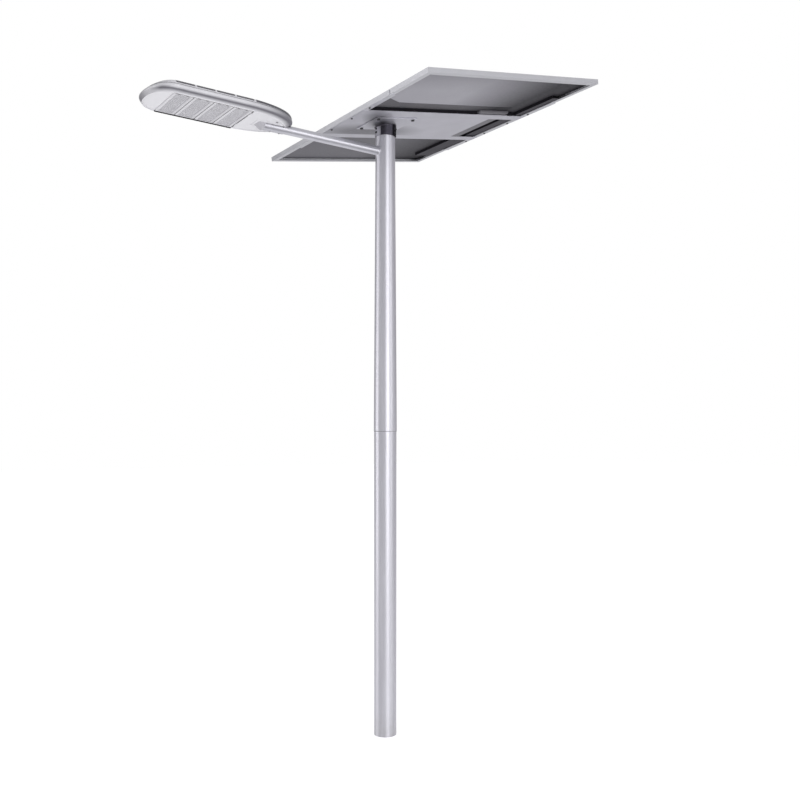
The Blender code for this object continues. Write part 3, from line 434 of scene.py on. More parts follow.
FINISH = {
    "pole": tube_finish("silver_coated_pole", "Z"),
    "arm": tube_finish("silver_coated_arm", "X"),
    "galvanised": galvanised_finish("galvanised_sheet_fine", *ZINC),
    "plate": galvanised_finish("galvanised_plate", *ZINC, [POLE_SHADOW, FLANGE_CAST_SHADOW]),
    "flange": galvanised_finish("galvanised_flange", *ZINC, [POLE_SHADOW, SLEEVE_CONTACT_SHADOW]),
    # The bracket's zinc is painted almost black: painted shade from the panel above it.
    "bracket_shade": galvanised_finish(
        "galvanised_bracket_painted_shade", (0.085, 0.080, 0.100), (0.050, 0.047, 0.060), 0.38
    ),
    "anodised": anodised_finish(),
    "steel": steel_finish("zinc_screws", (0.42, 0.41, 0.43)),
    "black_steel": steel_finish("black_oxide_screws", (0.06, 0.058, 0.062), 0.4),
    "tab": steel_finish("tinned_ribbon", (0.62, 0.62, 0.64), 0.28),
    "housing": housing_finish(),
    "lens": lens_finish(),
    "glass": glass_finish(),
    "cells": cell_finish(),
    "backsheet": backsheet_finish(),
    # seat: the dark sheet of painted shadow beside the near rail.
    "seat": rail_shadow_sheet_finish(),
}
# Each painted, moulded or rubber finish: what painted() takes, in its order.
PAINTED = {
    "face": ("face_enamel", (0.73, 0.725, 0.75), 0.45, 1100, 0.03, 0.015),
    "border": ("module_border", (0.60, 0.595, 0.62), 0.4, 900, 0.03, 0.03),
    # wedge: a darker grey than the housing, painted shade on the socket's sloped end.
    "wedge": ("socket_enamel", (0.43, 0.425, 0.455), 0.4, 1100, 0.04, 0.04, 0.1, 0.1),
    "sink": ("heat_sink_casting", (0.210, 0.206, 0.225), 0.48, 500, 0.12, 0.15, 0.2),
    "board": ("lens_field", (0.42, 0.415, 0.44), 0.5, 700, 0.06, 0.08),
    "dark": ("dark_casting_fine", (0.085, 0.082, 0.095), 0.48, 500, 0.12, 0.15, 0.2),
    "sealant": ("seam_sealant", (0.200, 0.196, 0.212), 0.6, 500, 0.05, 0.2),
    "ledge": ("plate_ledge_sheet", (0.160, 0.157, 0.170), 0.6, 420, 0.08, 0.06, 0.0, 0.0, 0.2),
    "stiffener": ("stiffener_sheet", (0.036, 0.034, 0.042), 0.6, 380, 0.06, 0.12, 0.0, 0.0, 0.2),
    # Black rubber for the real gaskets and seals, also used for the strips, webs and pads that are
    # painted shade.
    "gasket": ("rubber_gasket", SHADOW, 0.8, 400, 0.12, 0.2, 0.0, 0.0, 0.08),
    "cell_grid": ("encapsulant_grid", (0.66, 0.665, 0.68), 0.6, 400, 0.03, 0.04),
    "grey_plastic": ("grey_box_plastic", (0.118, 0.114, 0.127), 0.42, 500, 0.1, 0.06),
    "black_plastic": ("black_box_plastic", (0.025, 0.025, 0.028), 0.38, 450, 0.12, 0.2),
    "wrap": ("battery_sleeve", (0.03, 0.10, 0.28), 0.3, 300, 0.08, 0.12, 0.0, 0.3),
    "rubber": ("cable_jacket", (0.02, 0.02, 0.022), 0.5, 600, 0.1, 0.2),
}
FINISH.update({key: painted(*values) for key, values in PAINTED.items()})


# ---- Mesh building ----


def skin(mesh, first, second):
    """Quads between two closed rows of vertices with the same count."""
    count = len(first)
    for index in range(count):
        after = (index + 1) % count
        mesh.faces.new((first[index], first[after], second[after], second[index]))


def loft(rings, around=False):
    """A skin over rings of points, with two end faces, or with the last ring joined to the first."""
    mesh = bmesh.new()
    rows = [[mesh.verts.new(point) for point in ring] for ring in rings]
    for first, second in zip(rows, rows[1:]):
        skin(mesh, first, second)
    if around:
        skin(mesh, rows[-1], rows[0])
    else:
        mesh.faces.new(rows[0])
        mesh.faces.new(rows[-1])
    bmesh.ops.recalc_face_normals(mesh, faces=mesh.faces)
    return mesh


def circle(radius, height, count):
    turn = 2 * math.pi / count
    return [(radius * math.cos(turn * i), radius * math.sin(turn * i), height) for i in range(count)]


def signed_power(value, power):
    """The power of the value's size, with the value's sign."""
    return math.copysign(abs(value) ** power, value)


def hexagon(flat_radius, height, count):
    """A hexagon given by its distance to a flat, sampled at count points."""
    points = []
    for index in range(count):
        angle = 2 * math.pi * index / count
        to_flat = (angle + math.pi / 6) % (math.pi / 3) - math.pi / 6
        reach = flat_radius / math.cos(to_flat)
        points.append((reach * math.cos(angle), reach * math.sin(angle), height))
    return points


def revolved(profile, count=96):
    """A closed profile of (radius, height) turned about Z."""
    return loft([circle(radius, height, count) for radius, height in profile], around=True)


def block(low, high, bevel=0.0, segments=2):
    """A box between two corners, with rounded edges where a bevel is given."""
    mesh = bmesh.new()
    bmesh.ops.create_cube(mesh, size=1.0)
    middle = [(a + b) / 2 for a, b in zip(low, high)]
    size = [b - a for a, b in zip(low, high)]
    for vertex in mesh.verts:
        vertex.co = [m + s * c for m, s, c in zip(middle, size, vertex.co)]
    if bevel:
        bmesh.ops.bevel(
            mesh, geom=mesh.edges[:], offset=bevel, segments=segments, profile=0.5, affect="EDGES"
        )
    return mesh


def rectangle(left, right, low, high):
    return [(left, low), (right, low), (right, high), (left, high)]


def prism(outline, low, high, along="Z"):
    """An outline of two coordinates, drawn out from low to high along one axis."""
    place = "XYZ".index(along)
    ends = [[(*point[:place], level, *point[place:]) for point in outline] for level in (low, high)]
    return loft(ends)


def merged(meshes):
    """One mesh out of several, in their shared frame."""
    result = bmesh.new()
    for mesh in meshes:
        data = bpy.data.meshes.new("part")
        mesh.to_mesh(data)
        mesh.free()
        result.from_mesh(data)
        bpy.data.meshes.remove(data)
    return result


def moved(mesh, matrix):
    mesh.transform(matrix)
    return mesh


def linked(name, data):
    """A new object in the scene."""
    item = bpy.data.objects.new(name, data)
    bpy.context.scene.collection.objects.link(item)
    return item


def add_piece(name, mesh, body, finish, place, stands_for, sharp=32):
    """Makes a piece of the mesh in the frame called place, and rides it on the body.

    stands_for holds the CAD nodes it replaces. sharp is the angle above which edges stay hard.
    """
    data = bpy.data.meshes.new(name)
    mesh.to_mesh(data)
    mesh.free()
    data.shade_smooth()
    data.set_sharp_from_angle(angle=math.radians(sharp))
    data.materials.append(FINISH[finish])
    piece = linked(name, data)
    piece.matrix_world = place
    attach(piece, body)
    if stands_for:
        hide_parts(*stands_for)
    return piece


def on_panel(name, mesh, finish, stands_for=(), place=PANEL, sharp=32):
    return add_piece(name, mesh, "panel", finish, place, stands_for, sharp)


def on_head(name, mesh, finish, stands_for=(), sharp=32):
    return add_piece(name, mesh, "lamp_head", finish, ARM, stands_for, sharp)


def on_pole(name, mesh, finish, stands_for=(), place=WORLD, sharp=32):
    return add_piece(name, mesh, "pole", finish, place, stands_for, sharp)


def second_finish(piece, finish, chosen):
    """Gives another finish to the faces for which chosen is true."""
    piece.data.materials.append(FINISH[finish])
    for polygon in piece.data.polygons:
        if chosen(polygon):
            polygon.material_index = 1


def cut(mesh, cutters):
    """The mesh with every cutter's volume taken away."""
    objects = []
    for number, shape in enumerate([mesh, *cutters]):
        data = bpy.data.meshes.new(f"cut_{number}")
        shape.to_mesh(data)
        shape.free()
        objects.append(linked(f"cut_{number}", data))
    target = objects[0]
    for cutter in objects[1:]:
        boolean = target.modifiers.new("cut", "BOOLEAN")
        boolean.operation = "DIFFERENCE"
        boolean.solver = "EXACT"
        boolean.object = cutter
    result = bmesh.new()
    result.from_object(target, bpy.context.evaluated_depsgraph_get())
    for item in objects:
        data = item.data
        bpy.data.objects.remove(item)
        bpy.data.meshes.remove(data)
    return result


def repaint(finish, *names):
    """The finish in every material slot of these CAD nodes."""
    for name in names:
        for material_slot in nodes[name].material_slots:
            material_slot.material = FINISH[finish]


def soften(name, width):
    """Rounds the hard edges of a CAD node."""
    weld = nodes[name].modifiers.new("weld", "WELD")
    weld.merge_threshold = 0.00002
    bevel = nodes[name].modifiers.new("bevel", "BEVEL")
    bevel.width = width
    bevel.segments = 2
    bevel.limit_method = "ANGLE"
    bevel.angle_limit = math.radians(40)


# ---- Screws and bolts ----


def screw(shank, length, head):
    """A shank with a chamfered end below z = 0, and a head given by rings of (shape, radius, height)."""
    rings = [(circle, shank * 0.8, -length), (circle, shank, shank * 0.3 - length), (circle, shank, 0)]
    return loft([shape(radius, height, 36) for shape, radius, height in rings + head])


def hex_bolt(flats, head, washer, shank, length):
    """A hex head on a washer, pointing up."""
    seat = 0.0016
    rings = [(circle, washer, 0), (circle, washer, 0.0012), (circle, washer * 0.97, seat)]
    rings += [(hexagon, flats, seat), (hexagon, flats, seat + head * 0.85)]
    rings += [(circle, flats * 0.97, seat + head), (circle, flats * 0.55, seat + head)]
    rings.append((circle, flats * 0.50, seat + head * 0.93))
    return screw(shank, length, rings)


def socket_bolt(radius, head, shank, length):
    """A domed head with a hex socket, pointing up."""
    rings = [(circle, radius, 0), (circle, radius, head * 0.55), (circle, radius * 0.93, head * 0.85)]
    rings += [(circle, radius * 0.78, head), (hexagon, radius * 0.50, head)]
    rings.append((hexagon, radius * 0.48, head * 0.35))
    return screw(shank, length, rings)


def aimed(direction, point, axis="Z"):
    """A matrix that turns the axis to the direction and moves the origin to the point."""
    turn = direction.to_track_quat(axis, "Y").to_matrix().to_4x4()
    return Matrix.Translation(point) @ turn


def head_down(*point):
    """A matrix that moves a screw to the point, with its head on the lower side."""
    return Matrix.Translation(point) @ Matrix.Rotation(math.pi, 4, "X")


def add_screw(node, mesh, place, body="panel", finish="black_steel"):
    """The detailed piece for a screw or bolt of the CAD model."""
    add_piece(f"{node}_fine", mesh, body, finish, place, [node])


# ---- Pole and arm ----


def upper_radius(height):
    """The upper section's outer radius at a height."""
    share = (height - SEAM_HEIGHT) / (POLE_HEIGHT - SEAM_HEIGHT)
    return UPPER_FOOT_RADIUS + (UPPER_TOP_RADIUS - UPPER_FOOT_RADIUS) * share


def arm_point(distance, angle, radius):
    """A point round the arm's axis: distance from the pole's axis, and an angle round the tube."""
    return Vector((-distance, radius * math.cos(angle), radius * math.sin(angle)))


def pole_distance(angle, radius):
    """How far out the pole's surface lies along the arm, at a point round the arm."""
    y, z = radius * math.cos(angle), radius * math.sin(angle)
    around = upper_radius(roll["pos_m"][2] + z)
    return math.sqrt(around**2 - y**2)


def build_pole():
    lip = 0.0008
    inside = POLE_WALL + GAP
    spigot_foot = upper_radius(SEAM_HEIGHT) - inside
    spigot_head = upper_radius(SPIGOT_TOP) - inside
    shoulder = SEAM_HEIGHT - 0.0006
    lower = [
        (spigot_head - POLE_WALL, SPIGOT_TOP),
        (spigot_head, SPIGOT_TOP),
        (spigot_foot, shoulder),
        (LOWER_RADIUS - lip, shoulder),
        (LOWER_RADIUS, shoulder - lip),
        (LOWER_RADIUS, lip),
        (LOWER_RADIUS - lip, 0),
        (LOWER_RADIUS - POLE_WALL, 0),
        (LOWER_RADIUS - POLE_WALL, SEAM_HEIGHT - 0.02),
        (spigot_foot - POLE_WALL, SEAM_HEIGHT),
    ]
    on_pole("pole_lower_tube", revolved(lower, POLE_POINTS), "pole", ["lower_pole"])
    upper = [
        (UPPER_TOP_RADIUS - POLE_WALL, POLE_HEIGHT),
        (UPPER_TOP_RADIUS - lip, POLE_HEIGHT),
        (UPPER_TOP_RADIUS, POLE_HEIGHT - lip),
        (UPPER_FOOT_RADIUS, SEAM_HEIGHT + lip),
        (UPPER_FOOT_RADIUS - lip, SEAM_HEIGHT),
        (UPPER_FOOT_RADIUS - POLE_WALL, SEAM_HEIGHT),
    ]
    cable_hole = loft([circle(0.018, 0.03, 48), circle(0.018, 0.08, 48)])
    moved(cable_hole, Matrix.Translation((0, 0, roll["pos_m"][2])) @ ALONG_ARM)
    shell = cut(revolved(upper, POLE_POINTS), [cable_hole])
    on_pole("pole_upper_tube", shell, "pole", ["upper_pole"])
    sealant = revolved(
        [
            (LOWER_RADIUS - 0.0004, SEAM_HEIGHT - 0.0034),
            (LOWER_RADIUS + 0.0005, SEAM_HEIGHT - 0.0030),
            (LOWER_RADIUS + 0.0010, SEAM_HEIGHT - 0.0012),
            (LOWER_RADIUS + 0.0011, SEAM_HEIGHT + 0.0001),
            (LOWER_RADIUS - 0.0010, SEAM_HEIGHT + 0.0001),
        ]
    )
    on_pole("pole_seam_sealant", sealant, "sealant")


def build_arm():
    angles = [2 * math.pi * index / 72 for index in range(72)]
    pole_ends = [pole_distance(angle, ARM_RADIUS) + 0.0002 for angle in angles]
    bore = ARM_RADIUS - ARM_WALL
    rings = [
        [arm_point(ARM_END, angle, ARM_RADIUS) for angle in angles],
        [arm_point(end, angle, ARM_RADIUS) for angle, end in zip(angles, pole_ends)],
        [arm_point(end, angle, bore) for angle, end in zip(angles, pole_ends)],
        [arm_point(ARM_END, angle, bore) for angle in angles],
    ]
    on_pole("arm_tube_fine", loft(rings, around=True), "arm", ["arm_tube"], ARM)

    bead, ripple, ripples = 0.0060, 0.05, 18
    rings = [[] for _ in range(7)]
    for angle in angles:
        size = bead * (1 + ripple * math.sin(ripples * angle))
        section = [
            (ARM_RADIUS - 0.0008, size),
            (ARM_RADIUS + 0.0002, size),
            (ARM_RADIUS + 0.14 * size, 0.52 * size),
            (ARM_RADIUS + 0.46 * size, 0.20 * size),
            (ARM_RADIUS + size, 0.0003),
            (ARM_RADIUS + size, -0.0008),
            (ARM_RADIUS - 0.0008, -0.0008),
        ]
        for ring, (radius, rise) in zip(rings, section):
            ring.append(arm_point(pole_distance(angle, radius) + rise, angle, radius))
    fillet = loft(rings, around=True)
    on_pole("arm_weld_fillet", fillet, "arm", ["arm_weld_collar"], ARM, 60)


# ---- Bracket and panel support ----


def slope_height(x, level):
    """The world height of a plane of the panel, at its own height level, over a place x."""
    return PANEL_HEIGHT + level / math.cos(PANEL_TILT) + x * math.tan(PANEL_TILT)


def sleeve_ring(radius, height=None, level=None):
    """A ring round the pole's axis, at a world height or in a plane of the panel."""
    return [
        (x, y, slope_height(x, level) if height is None else height)
        for x, y, _ in circle(radius, 0, SLEEVE_POINTS)
    ]


def build_bracket():
    underside = FLANGE_LOW - GAP
    edge = 0.0008
    rings = [
        sleeve_ring(SLEEVE_BORE, level=underside),
        sleeve_ring(SLEEVE_RADIUS, level=underside),
        sleeve_ring(SLEEVE_RADIUS, SLEEVE_FOOT + edge),
        sleeve_ring(SLEEVE_RADIUS - edge, SLEEVE_FOOT),
        sleeve_ring(SLEEVE_BORE, SLEEVE_FOOT),
    ]
    sleeve = loft(rings, around=True)
    on_panel("bracket_sleeve_fine", sleeve, "bracket_shade", ["bracket_sleeve"], WORLD)
    weld = 0.0045
    section = [(-0.0006, 0.0006), (weld, 0.0006), (weld, -0.0003), (0.4 * weld, -0.3 * weld)]
    section += [(0.12 * weld, -0.62 * weld), (0.0001, -weld), (-0.0006, -weld)]
    rings = [sleeve_ring(SLEEVE_RADIUS + out, level=FLANGE_LOW + rise) for out, rise in section]
    on_panel("sleeve_weld_bead", loft(rings, around=True), "bracket_shade", (), WORLD, 60)
    # Painted shade and light on the sleeve: a black strip between -77 and -34 degrees for its dark
    # shadow line, and a lighter zinc strap between 164 and 211 degrees for its highlight.
    add_strap("clamp_shadow_strip", "gasket", (-77, -34), 0.0034)
    add_strap("clamp_highlight_strap", "galvanised", (164, 211), 0.0016)


def add_strap(name, finish, angles, thick):
    """A curved strip on the sleeve's face between two angles, in degrees."""
    steps = 16
    start, end = angles
    seat = SLEEVE_RADIUS + 0.0002
    rings = []
    for step in range(steps + 1):
        angle = math.radians(start + (end - start) * step / steps)
        outer = seat + thick * min(1.0, 0.4 + 3 * math.sin(math.pi * step / steps))
        x, y = math.cos(angle), math.sin(angle)
        head = slope_height(outer * x, FLANGE_LOW - STRAP_DROP)
        corners = ((seat, SLEEVE_FOOT), (outer, SLEEVE_FOOT), (outer, head), (seat, head))
        rings.append([(reach * x, reach * y, height) for reach, height in corners])
    on_panel(name, loft(rings), finish, (), WORLD)


def build_fasteners():
    """The set screws round the sleeve, the bolts of the flange plate and the side rails' screws."""
    number = 0
    for height in (3.420, 3.441):
        for angle in (180, 60, -60):
            number += 1
            outward = Vector((math.cos(math.radians(angle)), math.sin(math.radians(angle)), 0))
            seat = outward * (SLEEVE_RADIUS + 0.0002) + Vector((0, 0, height))
            bolt = socket_bolt(0.0065, 0.0050, 0.0040, 0.0035)
            add_screw(f"set_screw_{number}", bolt, aimed(outward, seat))
    number = 0
    for x in FLANGE_BOLT_X:
        for y in FLANGE_BOLT_Y:
            number += 1
            bolt = hex_bolt(0.0078, 0.0050, 0.0098, 0.0050, 0.0125)
            add_screw(f"flange_bolt_{number}", bolt, PANEL @ head_down(x, y, FLANGE_LOW))
    rails = (("left", PANEL_LOW + RAIL_SCREW_INSET), ("right", PANEL_HIGH - RAIL_SCREW_INSET))
    for side, place in rails:
        for number, along in enumerate(RAIL_SCREW_PLACES, start=1):
            under_plate = side == "left" and abs(along) < PLATE_HALF
            level = (PLATE_LOW if under_plate else RAIL_LOW) - 0.0002
            bolt = hex_bolt(0.0042, 0.0028, 0.0062, 0.0024, 0.0095)
            add_screw(f"rail_screw_{side}_{number}", bolt, PANEL @ head_down(place, along, level))


def build_support():
    """Finishes of the sheets and frame, and the strips, seat and stiffeners between them; the dark
    strips, seat and stiffeners are painted shade.
    """
    repaint("galvanised", "cross_rail_far")
    repaint("plate", "centre_plate", "cross_rail_near")
    repaint("flange", "bracket_flange_plate")
    repaint("anodised", "side_rail_left", "side_rail_right")
    repaint("anodised", "frame_left", "frame_right", "frame_near", "frame_far")
    soften("bracket_flange_plate", 0.0007)

    # Black strips on the faces of the cross rails' lips: painted shade in the gap under the backsheet.
    foot, top = PLATE_LOW + 0.003, 0.0150
    inner, outer = LIP_FACE + 0.0001, LIP_FACE + 0.0010
    spans = ((LIP_START, 0.4665), (0.6835, LIP_END))
    near_strip = merged([block((start, -outer, foot), (end, -inner, top)) for start, end in spans])
    on_panel("rail_lip_shade_near", near_strip, "gasket")
    far_strip = block((LIP_START, inner, foot), (LIP_END, outer, top))
    on_panel("rail_lip_shade_far", far_strip, "gasket")

    # A dark sheet just under the backsheet beside the near rail: the painted shadow of the rail's lip,
    # with a slanted end.
    seat = [(-0.24, -0.262), (0.66, -0.262), (0.66, -0.343), (-0.128, -0.343), (-0.24, -0.413)]
    on_panel("rail_shadow_sheet_near", prism(seat, 0.0172, 0.0180), "seat")
    ledge = block((0.6065, -0.188, -0.0044), (0.668, 0.188, -0.0032))
    on_panel("plate_ledge", ledge, "ledge")

    # Dark channels inside the high frame member: black webs and near-black pans, painted shade along
    # that edge.
    sheet, pan_low, web_top = 0.0013, 0.0018, 0.0172
    rim = PANEL_HIGH - FRAME_FLANGE - 0.0010
    for side, inner, *span in STIFFENERS:
        web = rectangle(inner, inner + sheet, pan_low, web_top)
        pan = rectangle(inner + sheet, rim, pan_low, pan_low + sheet)
        on_panel(f"stiffener_{side}_web", prism(web, *span, "Y"), "gasket")
        on_panel(f"stiffener_{side}_pan", prism(pan, *span, "Y"), "stiffener")


# ---- Solar panel ----


def cell_outline(s, y, outer):
    """One half cell, with the two corners on its outer side cut off."""
    half_s, half_y, chamfer = CELL_WIDTH / 2, CELL_HEIGHT / 2 * outer, 0.006
    return [
        (s - half_s, y - half_y),
        (s + half_s, y - half_y),
        (s + half_s, y + half_y - chamfer * outer),
        (s + half_s - chamfer, y + half_y),
        (s - half_s + chamfer, y + half_y),
        (s - half_s, y + half_y - chamfer * outer),
    ]


def build_panel():
    edge = 0.0019
    low_corner = (PANEL_LOW + edge, -PANEL_HALF + edge)
    high_corner = (PANEL_HIGH - edge, PANEL_HALF - edge)
    sheet = block((*low_corner, 0.0182), (*high_corner, 0.0187))
    backsheet = on_panel("backsheet_fine", sheet, "backsheet", ["backsheet"])
    second_finish(backsheet, "cell_grid", lambda face: face.normal.z > 0.97)
    glass = block((*low_corner, 0.0198), (*high_corner, 0.0230), 0.0004, 1)
    on_panel("glass_fine", glass, "glass", ["glass_sheet"])

    middle = (PANEL_LOW + PANEL_HIGH) / 2
    pitch_s, pitch_y = CELL_WIDTH + CELL_GAP, CELL_HEIGHT + CELL_GAP
    cell_low, cell_top, ribbon_top = 0.0190, 0.0193, 0.0195
    cells, ribbons = [], []
    for column in range(CELL_COLUMNS):
        s = middle + (column - (CELL_COLUMNS - 1) / 2) * pitch_s
        for row in range(CELL_ROWS):
            from_middle = row - (CELL_ROWS - 1) / 2
            y = from_middle * pitch_y + math.copysign(HALVES_GAP / 2, from_middle)
            outline = cell_outline(s, y, 1 if row % 2 else -1)
            cells.append(prism(outline, cell_low, cell_top))
        for ribbon in range(RIBBONS):
            place = s + (ribbon - (RIBBONS - 1) / 2) * CELL_WIDTH / RIBBONS
            for start, end in ((-0.846, -0.004), (0.004, 0.846)):
                low, high = (place - 0.0004, start, cell_top), (place + 0.0004, end, ribbon_top)
                ribbons.append(block(low, high))
    for y in (-0.848, 0.0, 0.848):
        low, high = (middle - 0.545, y - 0.0025, cell_top), (middle + 0.545, y + 0.0025, ribbon_top)
        ribbons.append(block(low, high))
    on_panel("silicon_cells_fine", merged(cells), "cells", ["cell_layer"])
    on_panel("cell_ribbons", merged(ribbons), "tab")


def build_junction_box():
    (left, near, low), (right, far, high) = (0.470, -0.285, 0.0015), (0.680, -0.205, 0.0165)
    lip = 0.004
    parts = [
        block((left, near, 0.0045), (right, far, high), 0.0022, 3),
        block((left + lip, near + lip, low), (right - lip, far - lip, 0.0050), 0.0014, 2),
    ]
    for rib in range(7):
        place = left + 0.045 + rib * 0.020
        ends = (place - 0.001, near + 0.014, low - 0.0008), (place + 0.001, far - 0.014, 0.003)
        parts.append(block(*ends))
    for x in (left + 0.012, right - 0.012):
        for y in (near + 0.012, far - 0.012):
            parts.append(moved(socket_bolt(0.0032, 0.0012, 0.0016, 0.003), head_down(x, y, low)))
    on_panel("junction_box_fine", merged(parts), "grey_plastic", ["junction_box"])
    profile = [(0.0042, 0.0), (0.0062, 0.0), (0.0062, 0.006), (0.0056, 0.0085), (0.0042, 0.0085)]
    turn = Matrix.Translation((0.560, far, 0.009)) @ Matrix.Rotation(-math.pi / 2, 4, "X")
    on_panel("junction_gland", moved(revolved(profile, 36), turn), "black_plastic")
    repaint("rubber", "panel_lead", "feed_cable", "lamp_lead")


# ---- Lamp head ----


def nose_outline(height, inset, nose_inset):
    """The nose as half a superellipse, from the near side round to the far side."""
    half = HALF_WIDTH - inset
    length = HEAD_TIP - NOSE_START - nose_inset
    power = 2 / NOSE_FULLNESS
    points = []
    for step in range(NOSE_STEPS + 1):
        angle = math.pi * (step / NOSE_STEPS - 0.5)
        reach = length * max(math.cos(angle), 0) ** power
        across = half * signed_power(math.sin(angle), power)
        points.append((-NOSE_START - reach, across, height))
    return points


def tail_outline(height, inset, tail_inset, front=REAR_START):
    """The tail as part of an ellipse, from the far side at front round to the near side."""
    half = HALF_WIDTH - inset
    length = REAR_START - HEAD_REAR - tail_inset
    first = math.acos((REAR_START - front) / length)
    points = []
    for step in range(REAR_STEPS + 1):
        angle = first * (1 - 2 * step / REAR_STEPS)
        points.append((-REAR_START + length * math.cos(angle), half * math.sin(angle), height))
    return points


def head_ring(level, wall=0.0, drop=0.0):
    """The outline at a level, moved inward by a wall's thickness and down by drop."""
    height, inset, nose_inset, tail_inset = level
    nose = nose_outline(height - drop, inset + wall, nose_inset + wall)
    return nose + tail_outline(height - drop, inset + wall, tail_inset + wall)


def smooth_levels(levels, steps=4):
    """Catmull-Rom levels between the given ones."""
    knots = [levels[0], *levels, levels[-1]]
    result = []
    for index in range(1, len(knots) - 2):
        for step in range(steps):
            t = step / steps
            row = []
            for a, b, c, d in zip(*knots[index - 1 : index + 3]):
                cubic = (3 * b - a - 3 * c + d) * t**3
                square = (2 * a - 5 * b + 4 * c - d) * t**2
                row.append(0.5 * (2 * b + (c - a) * t + square + cubic))
            result.append((row[0], *(max(inset, 0.0) for inset in row[1:])))
    result.append(levels[-1])
    return result


def build_housing():
    wall = 0.003
    outside = smooth_levels([RIM_OUTER, FLANK, BELLY, WALL, SEAM_LOW])
    rings = [head_ring(FACE), head_ring(RIM_INNER)]
    rings += [head_ring(level) for level in outside]
    rings += [
        head_ring(SEAM_LOW, wall),
        head_ring(BELLY, wall),
        head_ring(FLANK, wall + 0.0015),
        head_ring(FACE, wall, -wall),
    ]
    window_half = MODULE_HALF + 0.0008
    window = block((-MODULE_END, -window_half, -0.01), (-MODULE_START, window_half, 0.0125))
    doorway = loft([tail_outline(height, 0.0195, 0.0490, 0.878) for height in (-0.007, 0.0065)])
    arm_notch = loft([circle(0.029, place, 64) for place in (0.5, HEAD_REAR + 0.06)])
    pan = cut(loft(rings), [window, doorway, moved(arm_notch, ALONG_ARM)])
    piece = on_head("housing_pan", pan, "housing", ["lower_housing"])
    second_finish(piece, "face", lambda face: face.normal.z < -0.97 and face.center.z < 0.0045)

    corners = ((0.0016, 0.0001), (0.0016, 0.0019), (0.0060, 0.0019), (0.0060, 0.0001))
    gasket = loft([head_ring(SEAM_LOW, inward, -rise) for inward, rise in corners], around=True)
    on_head("housing_gasket", gasket, "gasket")


def build_cover():
    wall = 0.0025
    outside = smooth_levels([SEAM_HIGH, SHOULDER, BROW, CROWN])
    rings = [head_ring(level) for level in reversed(outside)]
    rings += [
        head_ring(SEAM_HIGH, wall),
        head_ring(BROW, wall, wall),
        head_ring(CROWN, 0.0005, wall),
    ]
    cutters = []
    margin, opening_foot, recess_foot, above = 0.0045, 0.053, 0.0488, 0.075
    for start in MODULE_PLACES:
        near, far = -start - MODULE_PITCH + margin, -start - margin
        cutters.append(block((near, -0.142, opening_foot), (far, 0.142, above)))
        cutters.append(block((near, -0.170, recess_foot), (far, -0.1415, above)))
        cutters.append(block((near, 0.1415, recess_foot), (far, 0.170, above)))
    cover = cut(loft(rings), cutters)
    on_head("housing_cover", cover, "housing", ["top_cover"])

    lid = [tail_outline(height, inset, tail, 0.872) for height, inset, tail in smooth_levels(LID)]
    on_head("rear_lid", loft(lid), "dark")


def sink_section(grow):
    """Half of the heat sink's section, from its middle to its lower corner, grown outward."""
    return [
        (0.1425, 0.0632 + grow),
        (0.1490, 0.0610 + grow * 0.8),
        (0.1560 + grow * 0.6, 0.0572 + grow * 0.5),
        (0.1592 + grow, 0.0520),
        (0.1600 + grow, 0.0493),
    ]


def mirrored(half):
    """A whole outline from its half at positive y."""
    return [(-y, z) for y, z in reversed(half)] + half


def build_heat_sinks():
    fins, thickness, margin, drop = 12, 0.0030, 0.0052, 0.0016
    core = [(y, z - drop) for y, z in mirrored(sink_section(0.0))]
    fin_outline = mirrored(sink_section(0.0030))
    for number, place in enumerate(MODULE_PLACES, start=1):
        start, end = place + margin, place + MODULE_PITCH - margin
        parts = [prism(core, -end, -start, "X")]
        parts.append(block((-end, -0.140, 0.0123), (-start, 0.140, 0.0173), 0.0008, 1))
        for fin in range(fins):
            near = start + (end - start - thickness) * fin / (fins - 1)
            parts.append(prism(fin_outline, -near - thickness, -near, "X"))
        name = f"heat_sink_{number}"
        on_head(f"{name}_fins", merged(parts), "sink", [name])


def dome(x, y, radius, base, height):
    """A lens dome that bulges downward from its base."""
    points, levels = 10, 3
    rings = []
    for level in range(levels + 1):
        angle = level / (levels + 0.35) * math.pi / 2
        ring = circle(radius * math.cos(angle), base - height * math.sin(angle), points)
        rings.append([(x + a, y + b, z) for a, b, z in ring])
    return loft(rings)


def build_lenses(name, near, far, half):
    """The field of lens domes on its board, sunk in the module's plate."""
    fit, pitch = 0.0003, 0.0104
    board = block((fit - far, fit - half, 0.0028), (-fit - near, half - fit, 0.0042))
    on_head(f"{name}_board", board, "board")
    columns = int((far - near - 0.004) / pitch)
    rows = int((2 * half - 0.004) / pitch)
    domes = []
    for column in range(columns):
        x = -(near + far) / 2 + (column - (columns - 1) / 2) * pitch
        for row in range(rows):
            domes.append(dome(x, (row - (rows - 1) / 2) * pitch, 0.0047, 0.0029, 0.0022))
    on_head(f"{name}_lenses", merged(domes), "lens", (), 60)


